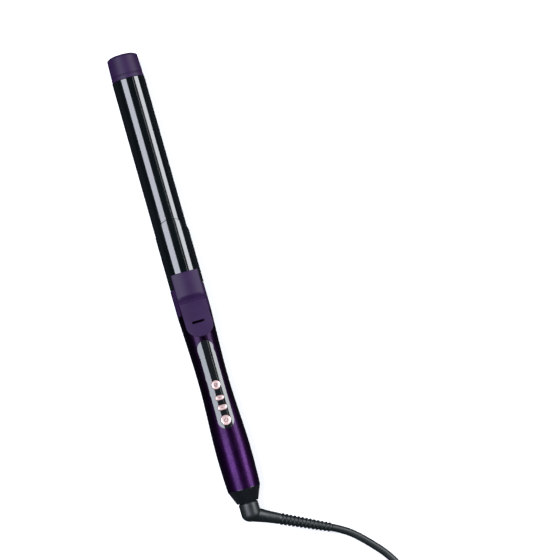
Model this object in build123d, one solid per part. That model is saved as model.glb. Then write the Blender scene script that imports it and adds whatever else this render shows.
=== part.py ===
from build123d import *
import math
import os

# A hair curling iron with a sprung clip on its barrel, a buttoned handle and a swivelling cord.
# Millimetres, +Z up. The iron lies on its back on z = 0 with the clip lever on top, its tip
# towards +Y and the middle of its body over the origin. "s" is the distance from the tip.

# ---- lengths along the iron ----
TIP_LENGTH = 19.2
BARREL_LENGTH = 162.0
COLLAR_LENGTH = 20.1
HANDLE_LENGTH = 135.7
END_CAP_LENGTH = 10.6

# ---- barrel and tip ----
BARREL_DIAMETER = 25.0
BARREL_WALL = 0.9
TIP_TOP_STEP = 0.8
TIP_BASE_STEP = 0.3
TIP_WALL = 2.6
TIP_GROOVE_FROM_BASE = 3.5
PLUG_SPIGOT = 10.0

# ---- heater inside the barrel ----
HEATER_WIDTH = 14.0
HEATER_THICKNESS = 2.2
HEATER_LENGTH = 100.0
HEATER_FROM_TIP = 45.0
SLEEVE_WALL = 0.3
SPREADER_WALL = 1.4
SPREADER_LENGTH = 128.0
SPREADER_FROM_TIP = 32.0

# ---- clip shell and lever ----
CLIP_LENGTH = 51.2
CLIP_SHEET = 0.6
CLIP_WRAP = 78.0
CLIP_NOSE_HALF = 0.3
CLIP_END_GAP = 0.6
RIVET_FROM_END = 4.6
RIVET_X = 4.0
RIVET_RADIUS = 1.2
RIVET_HEAD_COVER = 0.8
LEVER_WIDTH = 20.6
LEVER_OVERLAP = 10.7
LEVER_SADDLE = 1.7
LEVER_CROWN = 20.0
PAD_LENGTH = 25.4
PAD_RISE = 7.8
PAD_THICKNESS = 2.0
PAD_END_ROUND = 8.5
SLOT_LENGTH = 10.3
SLOT_WIDTH = 2.2
SLOT_FROM_END = 11.4
HINGE_FROM_COLLAR = 11.8
HINGE_BELOW_BARREL_TOP = 7.5
HINGE_PIN_DIAMETER = 2.0
VALLEY_DEPTH = 2.6
VALLEY_FROM_HINGE = 4.7
PAD_FROM_HINGE = 2.0
PAD_START_DROP = 0.9
EAR_THICKNESS = 1.4
EAR_RADIUS = 3.2
SPRING_WIRE = 1.1
SPRING_MEAN_RADIUS = 2.4
SPRING_PITCH = 1.35
SPRING_TURNS = 5
SPRING_LOWER_LEG = 3.4
SPRING_UPPER_LEG = 7.6
SPRING_LEG_ANGLE = 140.0

# ---- collar and handle ----
COLLAR_RADIUS = 13.0
RING_BORE = 7.0
RING_SEAT_RADIUS = 9.7
RING_SEAT_DEPTH = 5.5
RING_IN_BARREL = 12.0
COLLAR_WEB = 1.5
CAVITY_FLOOR = -4.0
WAIST_RADIUS = 11.6
WAIST_FROM_COLLAR = 63.7
BELLY_RADIUS = 13.2
BELLY_FROM_COLLAR = 108.7
HANDLE_REAR_RADIUS = 12.45
HANDLE_WALL = 2.4
SCOOP_UNDER_PAD = 2.85
SCOOP_SLOPE = 0.11
SCOOP_LENGTH = 16.0
BOSS_RADIUS = 3.6
BOSS_FROM_COLLAR = (10.7, 104.7)
SCREW_SEAT = 9.2
SCREW_RADIUS = 1.2
SCREW_HEAD_RADIUS = 2.4
SCREW_HEAD = 1.6
SCREW_REACH = 6.0

# ---- control panel, buttons and board ----
PANEL_LENGTH = 67.4
PANEL_WIDTH = 12.4
PANEL_FROM_COLLAR = 22.1
PANEL_PROUD = 0.25
PANEL_THICKNESS = 1.4
BUTTON_PROUD = 0.8
BUTTON_TRAVEL = 0.6
BUTTON_FLANGE = 0.6
BUTTON_FLANGE_UNDER_SKIN = 3.8
# name: (distance from the collar, size across the handle, size along the handle)
BUTTONS = {
    "mode_button": (56.2, 6.7, 6.7),
    "plus_button": (66.1, 6.6, 3.6),
    "minus_button": (73.5, 7.2, 3.9),
    "power_button": (83.2, 7.5, 7.5),
}
BOARD_LENGTH = 72.0
BOARD_WIDTH = 15.0
BOARD_THICKNESS = 1.2
BOARD_FROM_COLLAR = 26.7
BOARD_SCREW_INSET = (4.0, 1.5)
SWITCH_SIDE = 6.0
SWITCH_BODY = 2.4
SWITCH_PLUNGER = 0.5

# ---- folding stand under the collar ----
STAND_WIDTH = 13.0
STAND_THICKNESS = 1.8
STAND_LENGTH = 31.0
STAND_HINGE_FROM_COLLAR = 5.0
STAND_PIN_DIAMETER = 1.5
STAND_PIN_RISE = 1.4
STAND_PROUD = 0.2
KNUCKLE_WIDTH = 6.4
KNUCKLE_RADIUS = 1.2

# ---- end cap and cord swivel ----
END_CAP_TAIL_RADIUS = 8.15
CAP_SPIGOT = 7.0
SWIVEL_SHAFT_RADIUS = 5.0
SWIVEL_FLANGE_RADIUS = 7.5
SWIVEL_FLANGE = 3.5
SWIVEL_NOSE_RADIUS = 3.0
SWIVEL_NOSE = 10.9
CONTACT_RING_RADIUS = 4.0
CONTACT_RING_WIDTH = 2.5
CONTACT_STRIP = 0.4
CONTACT_STRIP_WIDTH = 2.4
BLOCK_LENGTH = 14.2
BOOT_COLLAR_RADIUS = 7.4
BOOT_COLLAR_LENGTH = 8.8
BOOT_GAP = 0.3
BOOT_ANGLE = 64.3
BOOT_ROLL = 8.8
BOOT_REACH = 63.2
BOOT_RADIUS = 4.3
BOOT_END_RADIUS = 3.4
BOOT_PLAIN = 22.5
RIB_COUNT = 13
RIB_HEIGHT = 0.45

# ---- cord, coil and plug ----
CORD_DIAMETER = 5.6
COIL_CENTRE = (38.6, -310.6)
COIL_MEAN_RADIUS = 31.0
COIL_LAYERS = 3
COIL_COLUMNS = 3
TIE_SHEET = 0.6
TIE_WIDTH = 10.0
TIE_ANGLE = 200.0
TIE_SLACK = 1.0
TIE_GAP = 0.1
LEAD_CLEAR = 0.94
COIL_ENTRY_ANGLE = -43.0
PLUG_LENGTH = 34.0
PLUG_WIDTH = 35.3
PLUG_THICKNESS = 13.7
PIN_DIAMETER = 4.0
PIN_LENGTH = 19.0
PIN_SLEEVE = 10.0
PIN_SPACING = 18.6

# ---- clearances ----
SEAT_GAP = 0.05
RUN_GAP = 0.04
CLIP_GAP = 0.2
SWING_GAP = 0.25
BUTTON_GAP = 0.2

# ---- worked out from the sizes above ----
S_BARREL = TIP_LENGTH
S_COLLAR = S_BARREL + BARREL_LENGTH
S_HANDLE = S_COLLAR + COLLAR_LENGTH
S_CAP = S_HANDLE + HANDLE_LENGTH
S_TAIL = S_CAP + END_CAP_LENGTH
BARREL_RADIUS = BARREL_DIAMETER / 2
TIP_TOP_RADIUS = BARREL_RADIUS - TIP_TOP_STEP
TIP_BASE_RADIUS = BARREL_RADIUS - TIP_BASE_STEP
HINGE_HEIGHT = BARREL_RADIUS - HINGE_BELOW_BARREL_TOP
BARREL_BORE = BARREL_RADIUS - BARREL_WALL
SPIGOT_RADIUS = BARREL_BORE - SEAT_GAP
CLIP_INNER = BARREL_RADIUS + CLIP_GAP
CLIP_OUTER = CLIP_INNER + CLIP_SHEET
CLIP_CORNER = CLIP_OUTER - CLIP_NOSE_HALF
AXIS_Z = max(BELLY_RADIUS, COLLAR_RADIUS + STAND_PROUD)
STAND_Z = AXIS_Z - COLLAR_RADIUS - STAND_PROUD
STAND_PIN_Z = STAND_Z + STAND_PIN_RISE - AXIS_Z
SADDLE_INNER = CLIP_OUTER + SEAT_GAP
SADDLE_TOP = SADDLE_INNER + LEVER_SADDLE
S_CLIP_END = S_COLLAR - CLIP_END_GAP
S_CLIP = S_CLIP_END - CLIP_LENGTH
S_LEVER = S_COLLAR - LEVER_OVERLAP
S_HINGE = S_COLLAR + HINGE_FROM_COLLAR
S_VALLEY = S_HINGE - VALLEY_FROM_HINGE
S_PAD = S_HINGE + PAD_FROM_HINGE
S_PAD_END = S_PAD + PAD_LENGTH
PAD_START_Z = SADDLE_TOP - PAD_START_DROP
PAD_END_Z = PAD_START_Z + PAD_RISE
PIN_RADIUS = HINGE_PIN_DIAMETER / 2
CHEEK_X = LEVER_WIDTH / 2 + SWING_GAP - 0.1
EAR_X = CHEEK_X - SWING_GAP - EAR_THICKNESS
S_WEB = S_COLLAR + RING_SEAT_DEPTH
S_CAVITY = S_WEB + COLLAR_WEB
SLEEVE_HALF = HEATER_THICKNESS / 2 + SEAT_GAP + SLEEVE_WALL
SPREADER_FLAT = SLEEVE_HALF + SEAT_GAP
BUTTON_FLANGE_TOP = min(WAIST_RADIUS, BELLY_RADIUS) - BUTTON_FLANGE_UNDER_SKIN
SWITCH_TOP = BUTTON_FLANGE_TOP - BUTTON_FLANGE - BUTTON_TRAVEL - 0.1
BOARD_TOP = SWITCH_TOP - SWITCH_PLUNGER - SWITCH_BODY
BOARD_UNDER = BOARD_TOP - BOARD_THICKNESS
S_BOARD = S_HANDLE + BOARD_FROM_COLLAR
LEAD_RADIUS = 0.8
LEAD_X = 5.2
SENSOR_WIRE_RADIUS = 0.45
SENSOR_X = 4.6
SENSOR_Z = -3.0
STAND_DEPTH = AXIS_Z - STAND_Z - STAND_THICKNESS - 0.1
S_STAND_PIN = S_COLLAR + STAND_HINGE_FROM_COLLAR
S_STAND = S_STAND_PIN + 4.2
S_LUG_END = S_STAND_PIN + 3.6
S_BLOCK = S_CAP - SWIVEL_FLANGE - BLOCK_LENGTH - 0.2
S_ELBOW = S_TAIL + BOOT_GAP + BOOT_COLLAR_LENGTH
CORD_RADIUS = CORD_DIAMETER / 2
COIL_BOTTOM = TIE_SHEET + TIE_GAP
PLUG_EYE_Z = PLUG_THICKNESS / 2
COIL_HALF = CORD_DIAMETER * COIL_COLUMNS / 2
COIL_CLEAR = COIL_MEAN_RADIUS + COIL_HALF + CORD_RADIUS + LEAD_CLEAR
LEAD_IN = math.sqrt(COIL_CLEAR**2 - COIL_MEAN_RADIUS**2)


def y_at(s):
    """Y of a station given as its distance from the tip."""
    return S_TAIL / 2 - s


def turned(outline):
    """A solid turned about the iron's axis from (radius, s) points."""
    points = [(r, y_at(s)) for r, s in outline]
    return Pos(0, 0, AXIS_Z) * revolve(make_face(Polyline(*points, close=True)), Axis.Y)


def ring(s0, s1, outer, inner=0.0):
    """A plain round bar or tube on the iron's axis."""
    return turned([(inner, s0), (outer, s0), (outer, s1), (inner, s1)])


def along(sketch, s0, s1):
    """A cross-section (x, height above the axis) drawn out along the iron."""
    return Pos(0, y_at(s0), AXIS_Z) * Rot(90, 0, 0) * extrude(sketch, amount=s1 - s0)


def block(x0, x1, s0, s1, z0, z1):
    """A box from x0 to x1, s0 to s1, and z0 to z1 above the axis."""
    middle = ((x0 + x1) / 2, y_at((s0 + s1) / 2), AXIS_Z + (z0 + z1) / 2)
    return Pos(*middle) * Box(x1 - x0, s1 - s0, z1 - z0)


def rod_up(x, s, z0, z1, radius):
    """An upright round rod, z measured above the axis."""
    return Pos(x, y_at(s), AXIS_Z + (z0 + z1) / 2) * Cylinder(radius, z1 - z0)


def rod_along(x, z, s0, s1, radius):
    """A round rod beside the axis, lying along the iron."""
    return Pos(x, y_at((s0 + s1) / 2), AXIS_Z + z) * Rot(90, 0, 0) * Cylinder(radius, s1 - s0)


def rod_across(s, z, half_width, radius, x=0.0):
    """A round rod lying across the iron."""
    return Pos(x, y_at(s), AXIS_Z + z) * Rot(0, 90, 0) * Cylinder(radius, 2 * half_width)


def side_plate(points, x0, x1):
    """A side profile of (s, height above the axis) drawn out across the iron."""
    wire = Polyline(*[Vector(0, y_at(s), AXIS_Z + z) for s, z in points], close=True)
    return Pos(x0, 0, 0) * extrude(make_face(wire), amount=x1 - x0, dir=(1, 0, 0))


def wire_run(points, radius, bend):
    """A round wire through (x, s, height above the axis) points with bends of one radius."""
    route = [Vector(x, y_at(s), AXIS_Z + z) for x, s, z in points]
    path = FilletPolyline(*route, radius=bend)
    return sweep(Plane(path @ 0, z_dir=path % 0) * Circle(radius), path=path)


def group(shapes):
    return Compound(children=[s if isinstance(s, Solid) else s.solids()[0] for s in shapes])


def handle_body(offset):
    """The handle's waisted round body, grown or shrunk by an offset."""
    front = (COLLAR_RADIUS + offset, y_at(S_HANDLE))
    waist = (WAIST_RADIUS + offset, y_at(S_HANDLE + WAIST_FROM_COLLAR))
    belly = (BELLY_RADIUS + offset, y_at(S_HANDLE + BELLY_FROM_COLLAR))
    rear = (HANDLE_REAR_RADIUS + offset, y_at(S_CAP))
    edges = [
        Line((0, front[1]), front),
        Spline(front, waist, belly, tangents=[(-0.035, -1), (0, -1)]),
        Spline(belly, rear, tangents=[(0, -1), (-0.055, -1)]),
        Line(rear, (0, rear[1])),
        Line((0, rear[1]), (0, front[1])),
    ]
    return Pos(0, 0, AXIS_Z) * revolve(make_face(edges), Axis.Y)


def panel_prism(grow):
    """The upright stadium that cuts the panel and its seat out of the handle."""
    middle = y_at(S_HANDLE + PANEL_FROM_COLLAR + PANEL_LENGTH / 2)
    slot = Rot(0, 0, 90) * SlotOverall(PANEL_LENGTH + 2 * grow, PANEL_WIDTH + 2 * grow)
    return Pos(0, middle, AXIS_Z + 4) * extrude(slot, amount=20)


def button_shape(name, grow):
    """A button's outline seen from above, round or oblong."""
    _, across, lengthways = BUTTONS[name]
    if across == lengthways:
        return Circle(across / 2 + grow)
    return SlotOverall(across + 2 * grow, lengthways + 2 * grow)


def button_prism(name, grow, z0, z1):
    s = S_HANDLE + BUTTONS[name][0]
    return Pos(0, y_at(s), AXIS_Z + z0) * extrude(button_shape(name, grow), amount=z1 - z0)


# ---- tip and barrel ----
def tip_cap():
    groove = S_BARREL - TIP_GROOVE_FROM_BASE
    rim = TIP_TOP_RADIUS
    edges = [
        Line((0, y_at(0)), (rim - 2.6, y_at(0.3))),
        ThreePointArc((rim - 2.6, y_at(0.3)), (rim - 0.75, y_at(1.05)), (rim, y_at(2.8))),
        Polyline(
            (rim, y_at(2.8)),
            (TIP_BASE_RADIUS - 0.15, y_at(groove - 0.45)),
            (TIP_BASE_RADIUS - 0.55, y_at(groove - 0.3)),
            (TIP_BASE_RADIUS - 0.55, y_at(groove + 0.3)),
            (TIP_BASE_RADIUS, y_at(groove + 0.45)),
            (TIP_BASE_RADIUS, y_at(S_BARREL)),
            (TIP_BASE_RADIUS - TIP_WALL, y_at(S_BARREL)),
            (TIP_BASE_RADIUS - TIP_WALL, y_at(TIP_WALL + 1.4)),
            (0, y_at(TIP_WALL + 1.4)),
            (0, y_at(0)),
        ),
    ]
    return Pos(0, 0, AXIS_Z) * revolve(make_face(edges), Axis.Y)


def tip_plug():
    neck = TIP_BASE_RADIUS - TIP_WALL - SEAT_GAP
    return turned(
        [
            (0, TIP_WALL + 1.4),
            (neck, TIP_WALL + 1.4),
            (neck, S_BARREL),
            (SPIGOT_RADIUS, S_BARREL),
            (SPIGOT_RADIUS, S_BARREL + PLUG_SPIGOT),
            (SPIGOT_RADIUS - 2.5, S_BARREL + PLUG_SPIGOT),
            (SPIGOT_RADIUS - 2.5, S_BARREL + 2),
            (0, S_BARREL + 2),
        ]
    )


def spreader(side):
    """Half of the aluminium core that carries the heat, a D-shaped channel above or below."""
    above = Rectangle(60, 40)
    outer = Circle(SPIGOT_RADIUS) & Pos(0, SPREADER_FLAT + 20) * above
    inner = Circle(SPIGOT_RADIUS - SPREADER_WALL) & Pos(0, SPREADER_FLAT + SPREADER_WALL + 20) * above
    section = outer - inner
    if side < 0:
        section = mirror(section, Plane.XZ)
    return along(section, SPREADER_FROM_TIP, SPREADER_FROM_TIP + SPREADER_LENGTH)


def heater_plate():
    half = HEATER_WIDTH / 2
    thick = HEATER_THICKNESS / 2
    return block(-half, half, HEATER_FROM_TIP, HEATER_FROM_TIP + HEATER_LENGTH, -thick, thick)


def insulating_sleeve():
    half = HEATER_WIDTH / 2 + SEAT_GAP
    thick = HEATER_THICKNESS / 2 + SEAT_GAP
    s0, s1 = HEATER_FROM_TIP - 3, HEATER_FROM_TIP + HEATER_LENGTH + 3
    outer = block(-half - SLEEVE_WALL, half + SLEEVE_WALL, s0, s1, -SLEEVE_HALF, SLEEVE_HALF)
    return outer - block(-half, half, s0 - 1, s1 + 1, -thick, thick)


def thermistor():
    s = HEATER_FROM_TIP + 51
    return rod_along(0, SPREADER_FLAT + SPREADER_WALL + 1.2 + SEAT_GAP, s, s + 6, 1.2)


def thermal_fuse():
    z = -(SPREADER_FLAT + SPREADER_WALL + 2.0 + SEAT_GAP)
    s = HEATER_FROM_TIP + 75
    return rod_along(0, z, s, s + 11, 2.0) + rod_along(0, z, s - 6, s + 17, 0.5)


def heater_leads():
    s0 = HEATER_FROM_TIP + HEATER_LENGTH
    s1 = S_BOARD + 9
    return [
        wire_run([(x, s0, 0), (x, s1, 0), (x, s1, BOARD_UNDER)], LEAD_RADIUS, 1.4)
        for x in (-LEAD_X, LEAD_X)
    ]


def sensor_leads():
    z = SPREADER_FLAT + SPREADER_WALL + 1.2 + SEAT_GAP
    s0 = HEATER_FROM_TIP + 57
    s1 = SPREADER_FROM_TIP + SPREADER_LENGTH + 2
    s2, s3 = s1 + 14, S_BOARD + 12
    leads = []
    for side in (-1, 1):
        near, far = 0.6 * side, SENSOR_X * side
        points = [(near, s0, z), (near, s1, z), (far, s2, SENSOR_Z), (far, s3, SENSOR_Z)]
        leads.append(wire_run(points + [(far, s3, BOARD_UNDER)], SENSOR_WIRE_RADIUS, 2.5))
    return leads


# ---- collar, clip and lever ----
def barrel_ring():
    """The heat-proof ring that joins the barrel to the collar."""
    return turned(
        [
            (RING_BORE, S_COLLAR - RING_IN_BARREL),
            (SPIGOT_RADIUS, S_COLLAR - RING_IN_BARREL),
            (SPIGOT_RADIUS, S_COLLAR),
            (RING_SEAT_RADIUS, S_COLLAR),
            (RING_SEAT_RADIUS, S_WEB),
            (RING_BORE, S_WEB),
        ]
    ) - group([rod_along(x, z, S_COLLAR - 1, S_WEB + 1, 0.85) for x, z in ring_screw_places()])


def ring_screw_places():
    middle = (RING_BORE + RING_SEAT_RADIUS) / 2
    tilt = math.radians(-14)
    return [(side * middle * math.cos(tilt), middle * math.sin(tilt)) for side in (-1, 1)]


def ring_screws():
    screws = []
    for x, z in ring_screw_places():
        head = rod_along(x, z, S_CAVITY, S_CAVITY + 0.9, 1.6)
        screws.append(head + rod_along(x, z, S_COLLAR - 0.9, S_CAVITY, 0.8))
    return screws


def collar():
    body = ring(S_COLLAR, S_HANDLE, COLLAR_RADIUS)
    spigot_outer = COLLAR_RADIUS - HANDLE_WALL - 0.35
    body += ring(S_HANDLE, S_HANDLE + 5, spigot_outer, spigot_outer - 1.8)
    lug = block(-7, 7, S_STAND_PIN - 2.6, S_LUG_END, STAND_Z + 0.3 - AXIS_Z, -8)
    body += lug
    over_clip = Pos(0, 20) * Rectangle(2 * CHEEK_X, 40)
    body -= along(over_clip - Circle(CLIP_OUTER), S_COLLAR - 1, S_CAVITY + 1)
    body -= ring(S_COLLAR - 1, S_WEB, RING_SEAT_RADIUS + SEAT_GAP)
    body -= ring(S_WEB - 1, S_CAVITY + 1, RING_BORE)
    body -= block(-CHEEK_X, CHEEK_X, S_CAVITY, S_HANDLE + 9, CAVITY_FLOOR, 20)
    body -= block(-14, 14, S_HANDLE, S_HANDLE + 9, CAVITY_FLOOR, 20)
    pin = rod_across(S_HINGE, HINGE_HEIGHT, CHEEK_X + 0.9, PIN_RADIUS + SEAT_GAP)
    body -= pin
    for x, z in ring_screw_places():
        body -= rod_along(x, z, S_WEB - 1, S_CAVITY + 1, 0.9)
    half = KNUCKLE_WIDTH / 2 + SWING_GAP
    top = STAND_PIN_Z + KNUCKLE_RADIUS + 0.2
    body -= block(-half, half, S_STAND_PIN - 1.6, S_LUG_END + 1, -AXIS_Z - 1, top)
    body -= block(-12, 12, S_LUG_END, S_HANDLE, -AXIS_Z - 1, -STAND_DEPTH)
    body -= rod_across(S_STAND_PIN, STAND_PIN_Z, 6.0, STAND_PIN_DIAMETER / 2 + RUN_GAP)
    return body


def clip_shell():
    """The sprung clip, a sheet curved round the top of the barrel."""
    sheet = ring(S_CLIP, S_CLIP_END, CLIP_OUTER, CLIP_INNER)
    low = CLIP_INNER * math.cos(math.radians(CLIP_WRAP))
    half = CLIP_OUTER + 1
    front = y_at(S_CLIP)
    plan = Pos(0, front - 40) * RectangleRounded(2 * CLIP_OUTER, 80, CLIP_CORNER)
    tongue = Pos(0, 0, AXIS_Z + low) * extrude(plan, amount=20)
    sheet &= tongue
    for x in (-RIVET_X, RIVET_X):
        sheet -= rod_up(x, S_CLIP_END - RIVET_FROM_END, HINGE_HEIGHT, 20, RIVET_RADIUS + SEAT_GAP)
    return sheet & block(-half, half, S_CLIP - 1, S_CLIP_END, low, 20)


def clip_rivets():
    s = S_CLIP_END - RIVET_FROM_END
    top = SADDLE_TOP - RIVET_HEAD_COVER
    return [rod_up(x, s, CLIP_INNER - 0.15, top, RIVET_RADIUS) for x in (-RIVET_X, RIVET_X)]


def clip_lever():
    """The saddle over the clip's root, the valley over the hinge and the raised thumb pad."""
    half = LEVER_WIDTH / 2
    crown = Pos(0, SADDLE_TOP - LEVER_CROWN) * Circle(LEVER_CROWN)
    section = (crown & Pos(0, 15) * Rectangle(LEVER_WIDTH, 20)) - Circle(SADDLE_INNER)
    lever = along(section, S_LEVER, S_VALLEY)
    rivet_top = SADDLE_TOP - RIVET_HEAD_COVER
    for x in (-RIVET_X, RIVET_X):
        s = S_CLIP_END - RIVET_FROM_END
        lever -= rod_up(x, s, HINGE_HEIGHT, rivet_top, RIVET_RADIUS + SEAT_GAP)
    valley_z = SADDLE_TOP - VALLEY_DEPTH
    top = [
        Vector(0, y_at(S_VALLEY - 1.8), AXIS_Z + SADDLE_TOP - 0.2),
        Vector(0, y_at(S_VALLEY), AXIS_Z + SADDLE_TOP - 0.2),
        Vector(0, y_at((S_VALLEY + S_PAD) / 2), AXIS_Z + valley_z),
        Vector(0, y_at(S_PAD), AXIS_Z + PAD_START_Z),
    ]
    under = [
        (S_PAD_END, PAD_END_Z),
        (S_PAD_END, PAD_END_Z - PAD_THICKNESS),
        (S_PAD + 2.5, PAD_START_Z - PAD_THICKNESS + 0.4),
        (S_HINGE - 1.5, valley_z - 2.1),
        (S_VALLEY + 0.3, SADDLE_INNER),
        (S_VALLEY - 1.8, SADDLE_INNER),
    ]
    lower = [top[3]] + [Vector(0, y_at(s), AXIS_Z + z) for s, z in under] + [top[0]]
    edges = [Line(top[0], top[1]), ThreePointArc(top[1], top[2], top[3]), Polyline(*lower)]
    pad = Pos(-half, 0, 0) * extrude(make_face(edges), amount=LEVER_WIDTH, dir=(1, 0, 0))
    plan_end = Pos(0, y_at(S_PAD_END - PAD_END_ROUND)) * Ellipse(half, PAD_END_ROUND)
    straight = S_PAD_END - PAD_END_ROUND - S_LEVER
    plan = Pos(0, y_at(S_LEVER + straight / 2)) * Rectangle(LEVER_WIDTH, straight)
    lever += pad
    lever &= Pos(0, 0, AXIS_Z) * extrude(plan + plan_end, amount=40)
    for side in (-1, 1):
        x0, x1 = sorted((side * EAR_X, side * (EAR_X + EAR_THICKNESS)))
        strut = [
            (S_HINGE - EAR_RADIUS, HINGE_HEIGHT),
            (S_HINGE + EAR_RADIUS, HINGE_HEIGHT),
            (S_HINGE + EAR_RADIUS, valley_z - 0.5),
            (S_HINGE - 1.5, valley_z - 0.5),
            (S_HINGE - EAR_RADIUS, valley_z - 1.5),
        ]
        ear = side_plate(strut, x0, x1)
        ear += rod_across(S_HINGE, HINGE_HEIGHT, EAR_THICKNESS / 2, EAR_RADIUS, (x0 + x1) / 2)
        lever += ear
    lever -= rod_across(S_HINGE, HINGE_HEIGHT, CHEEK_X + 2, PIN_RADIUS + RUN_GAP)
    slot = extrude(SlotOverall(SLOT_LENGTH, SLOT_WIDTH), amount=30)
    return lever - Pos(0, y_at(S_PAD_END - SLOT_FROM_END), AXIS_Z + HINGE_HEIGHT + 3) * slot


def hinge_pin():
    return rod_across(S_HINGE, HINGE_HEIGHT, CHEEK_X + 0.8, PIN_RADIUS)


def torsion_spring():
    """A wound wire spring on the hinge pin, one leg up under the pad and one towards the web."""
    length = SPRING_PITCH * SPRING_TURNS
    coil = Helix(SPRING_PITCH, length, SPRING_MEAN_RADIUS)
    start, end = coil @ 0, coil @ 1
    lower_leg = Line(start - (coil % 0) * SPRING_LOWER_LEG, start)
    upper_leg = Line(end, end + (coil % 1) * SPRING_UPPER_LEG)
    path = Wire([lower_leg.edge(), coil.edge(), upper_leg.edge()])
    wound = sweep(Plane(path @ 0, z_dir=path % 0) * Circle(SPRING_WIRE / 2), path=path)
    lie = Pos(-length / 2, y_at(S_HINGE), AXIS_Z + HINGE_HEIGHT) * Rot(SPRING_LEG_ANGLE, 0, 0)
    return lie * Rot(0, 90, 0) * wound


# ---- folding stand ----
def stand():
    half = STAND_WIDTH / 2
    plan = RectangleRounded(STAND_WIDTH, STAND_LENGTH, 2.5)
    plate = Pos(0, y_at(S_STAND + STAND_LENGTH / 2), STAND_Z) * extrude(plan, STAND_THICKNESS)
    plate = chamfer(plate.edges().group_by(Axis.Z)[-1], 0.3)
    reach = S_STAND - S_STAND_PIN + 3
    thick = STAND_THICKNESS - 0.2
    link = Box(KNUCKLE_WIDTH, reach, thick)
    tongue = Pos(0, y_at(S_STAND_PIN + reach / 2), STAND_Z + 0.2 + thick / 2) * link
    knuckle = rod_across(S_STAND_PIN, STAND_PIN_Z, KNUCKLE_WIDTH / 2, KNUCKLE_RADIUS)
    bore = rod_across(S_STAND_PIN, STAND_PIN_Z, half, STAND_PIN_DIAMETER / 2 + RUN_GAP)
    grip = rod_across(S_STAND + STAND_LENGTH - 4, STAND_Z + STAND_THICKNESS - AXIS_Z, 4, 0.7)
    return plate + tongue + knuckle - bore - grip


def stand_pin():
    return rod_across(S_STAND_PIN, STAND_PIN_Z, 5.9, STAND_PIN_DIAMETER / 2)


# ---- handle ----
def handle_half(side):
    """One moulded half of the handle, with its screw bosses; the halves meet level with the axis."""
    z0, z1 = (0, 20) if side > 0 else (-20, 0)
    half_space = block(-20, 20, S_HANDLE, S_CAP, z0, z1)
    skin = handle_body(0)
    shell = skin - handle_body(-HANDLE_WALL)
    shell &= half_space
    inside = handle_body(-HANDLE_WALL / 2) & half_space
    for place in BOSS_FROM_COLLAR:
        shell += rod_up(0, S_HANDLE + place, z0, z1, BOSS_RADIUS) & inside
    return shell


def handle_front_shell():
    shell = handle_half(1)
    inside = handle_body(-HANDLE_WALL / 2)
    for x, s in board_screw_places():
        shell += rod_up(x, s, BOARD_TOP, 12, 1.3) & inside
        shell -= rod_up(x, s, BOARD_TOP - 1, BOARD_TOP + 2.6, 0.75)
    for place in BOSS_FROM_COLLAR:
        shell -= rod_up(0, S_HANDLE + place, -1, SCREW_REACH + 0.2, SCREW_RADIUS + SEAT_GAP)
    low = PAD_START_Z - SCOOP_UNDER_PAD
    end = S_HANDLE + SCOOP_LENGTH
    scoop = [(S_HANDLE - 1, low - SCOOP_SLOPE), (S_HANDLE - 1, 20), (end, 20)]
    scoop.append((end, low + SCOOP_SLOPE * SCOOP_LENGTH))
    shell -= side_plate(scoop, -COLLAR_RADIUS - 2, COLLAR_RADIUS + 2)
    seat = panel_prism(SEAT_GAP) - handle_body(PANEL_PROUD - PANEL_THICKNESS)
    shell -= seat
    for name in BUTTONS:
        shell -= button_prism(name, BUTTON_GAP, 5, 20)
    return shell


def handle_rear_shell():
    shell = handle_half(-1)
    pocket_end = S_STAND + STAND_LENGTH + 0.4
    half = STAND_WIDTH / 2 + 0.3
    shell -= block(-half, half, S_HANDLE - 1, pocket_end, -AXIS_Z - 1, -STAND_DEPTH)
    for place in BOSS_FROM_COLLAR:
        s = S_HANDLE + place
        shell -= rod_up(0, s, -SCREW_SEAT, 1, SCREW_RADIUS + SEAT_GAP)
        shell -= rod_up(0, s, -AXIS_Z - 1, -SCREW_SEAT, SCREW_HEAD_RADIUS + 0.1)
    return shell


def handle_screws():
    screws = []
    for place in BOSS_FROM_COLLAR:
        s = S_HANDLE + place
        head = rod_up(0, s, -SCREW_SEAT - SCREW_HEAD, -SCREW_SEAT, SCREW_HEAD_RADIUS)
        screws.append(head + rod_up(0, s, -SCREW_SEAT, SCREW_REACH, SCREW_RADIUS))
    return screws


def control_panel():
    panel = (panel_prism(0) & handle_body(PANEL_PROUD)) - handle_body(PANEL_PROUD - PANEL_THICKNESS)
    for name in BUTTONS:
        panel -= button_prism(name, BUTTON_GAP, 5, 20)
    return panel


def button(name):
    head = button_prism(name, 0, BUTTON_FLANGE_TOP, 20) & handle_body(PANEL_PROUD + BUTTON_PROUD)
    return head + button_prism(name, 0.6, BUTTON_FLANGE_TOP - BUTTON_FLANGE, BUTTON_FLANGE_TOP)


def board_screw_places():
    end, side = BOARD_SCREW_INSET
    x = BOARD_WIDTH / 2 - side
    return [(i * x, s) for s in (S_BOARD + end, S_BOARD + BOARD_LENGTH - end) for i in (-1, 1)]


def circuit_board():
    half = BOARD_WIDTH / 2
    board = block(-half, half, S_BOARD, S_BOARD + BOARD_LENGTH, BOARD_UNDER, BOARD_TOP)
    for x, s in board_screw_places():
        board -= rod_up(x, s, BOARD_UNDER - 1, BOARD_TOP + 1, 0.75)
    return board


def board_screws():
    screws = []
    for x, s in board_screw_places():
        head = rod_up(x, s, BOARD_UNDER - 0.8, BOARD_UNDER, 1.2)
        screws.append(head + rod_up(x, s, BOARD_UNDER, BOARD_TOP + 2.5, 0.7))
    return screws


def tact_switches():
    half = SWITCH_SIDE / 2
    top = BOARD_TOP + SWITCH_BODY
    switches = []
    for place, _, _ in BUTTONS.values():
        s = S_HANDLE + place
        body = block(-half, half, s - half, s + half, BOARD_TOP, top)
        switches.append(body + rod_up(0, s, top, top + SWITCH_PLUNGER, 1.6))
    return switches


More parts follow.
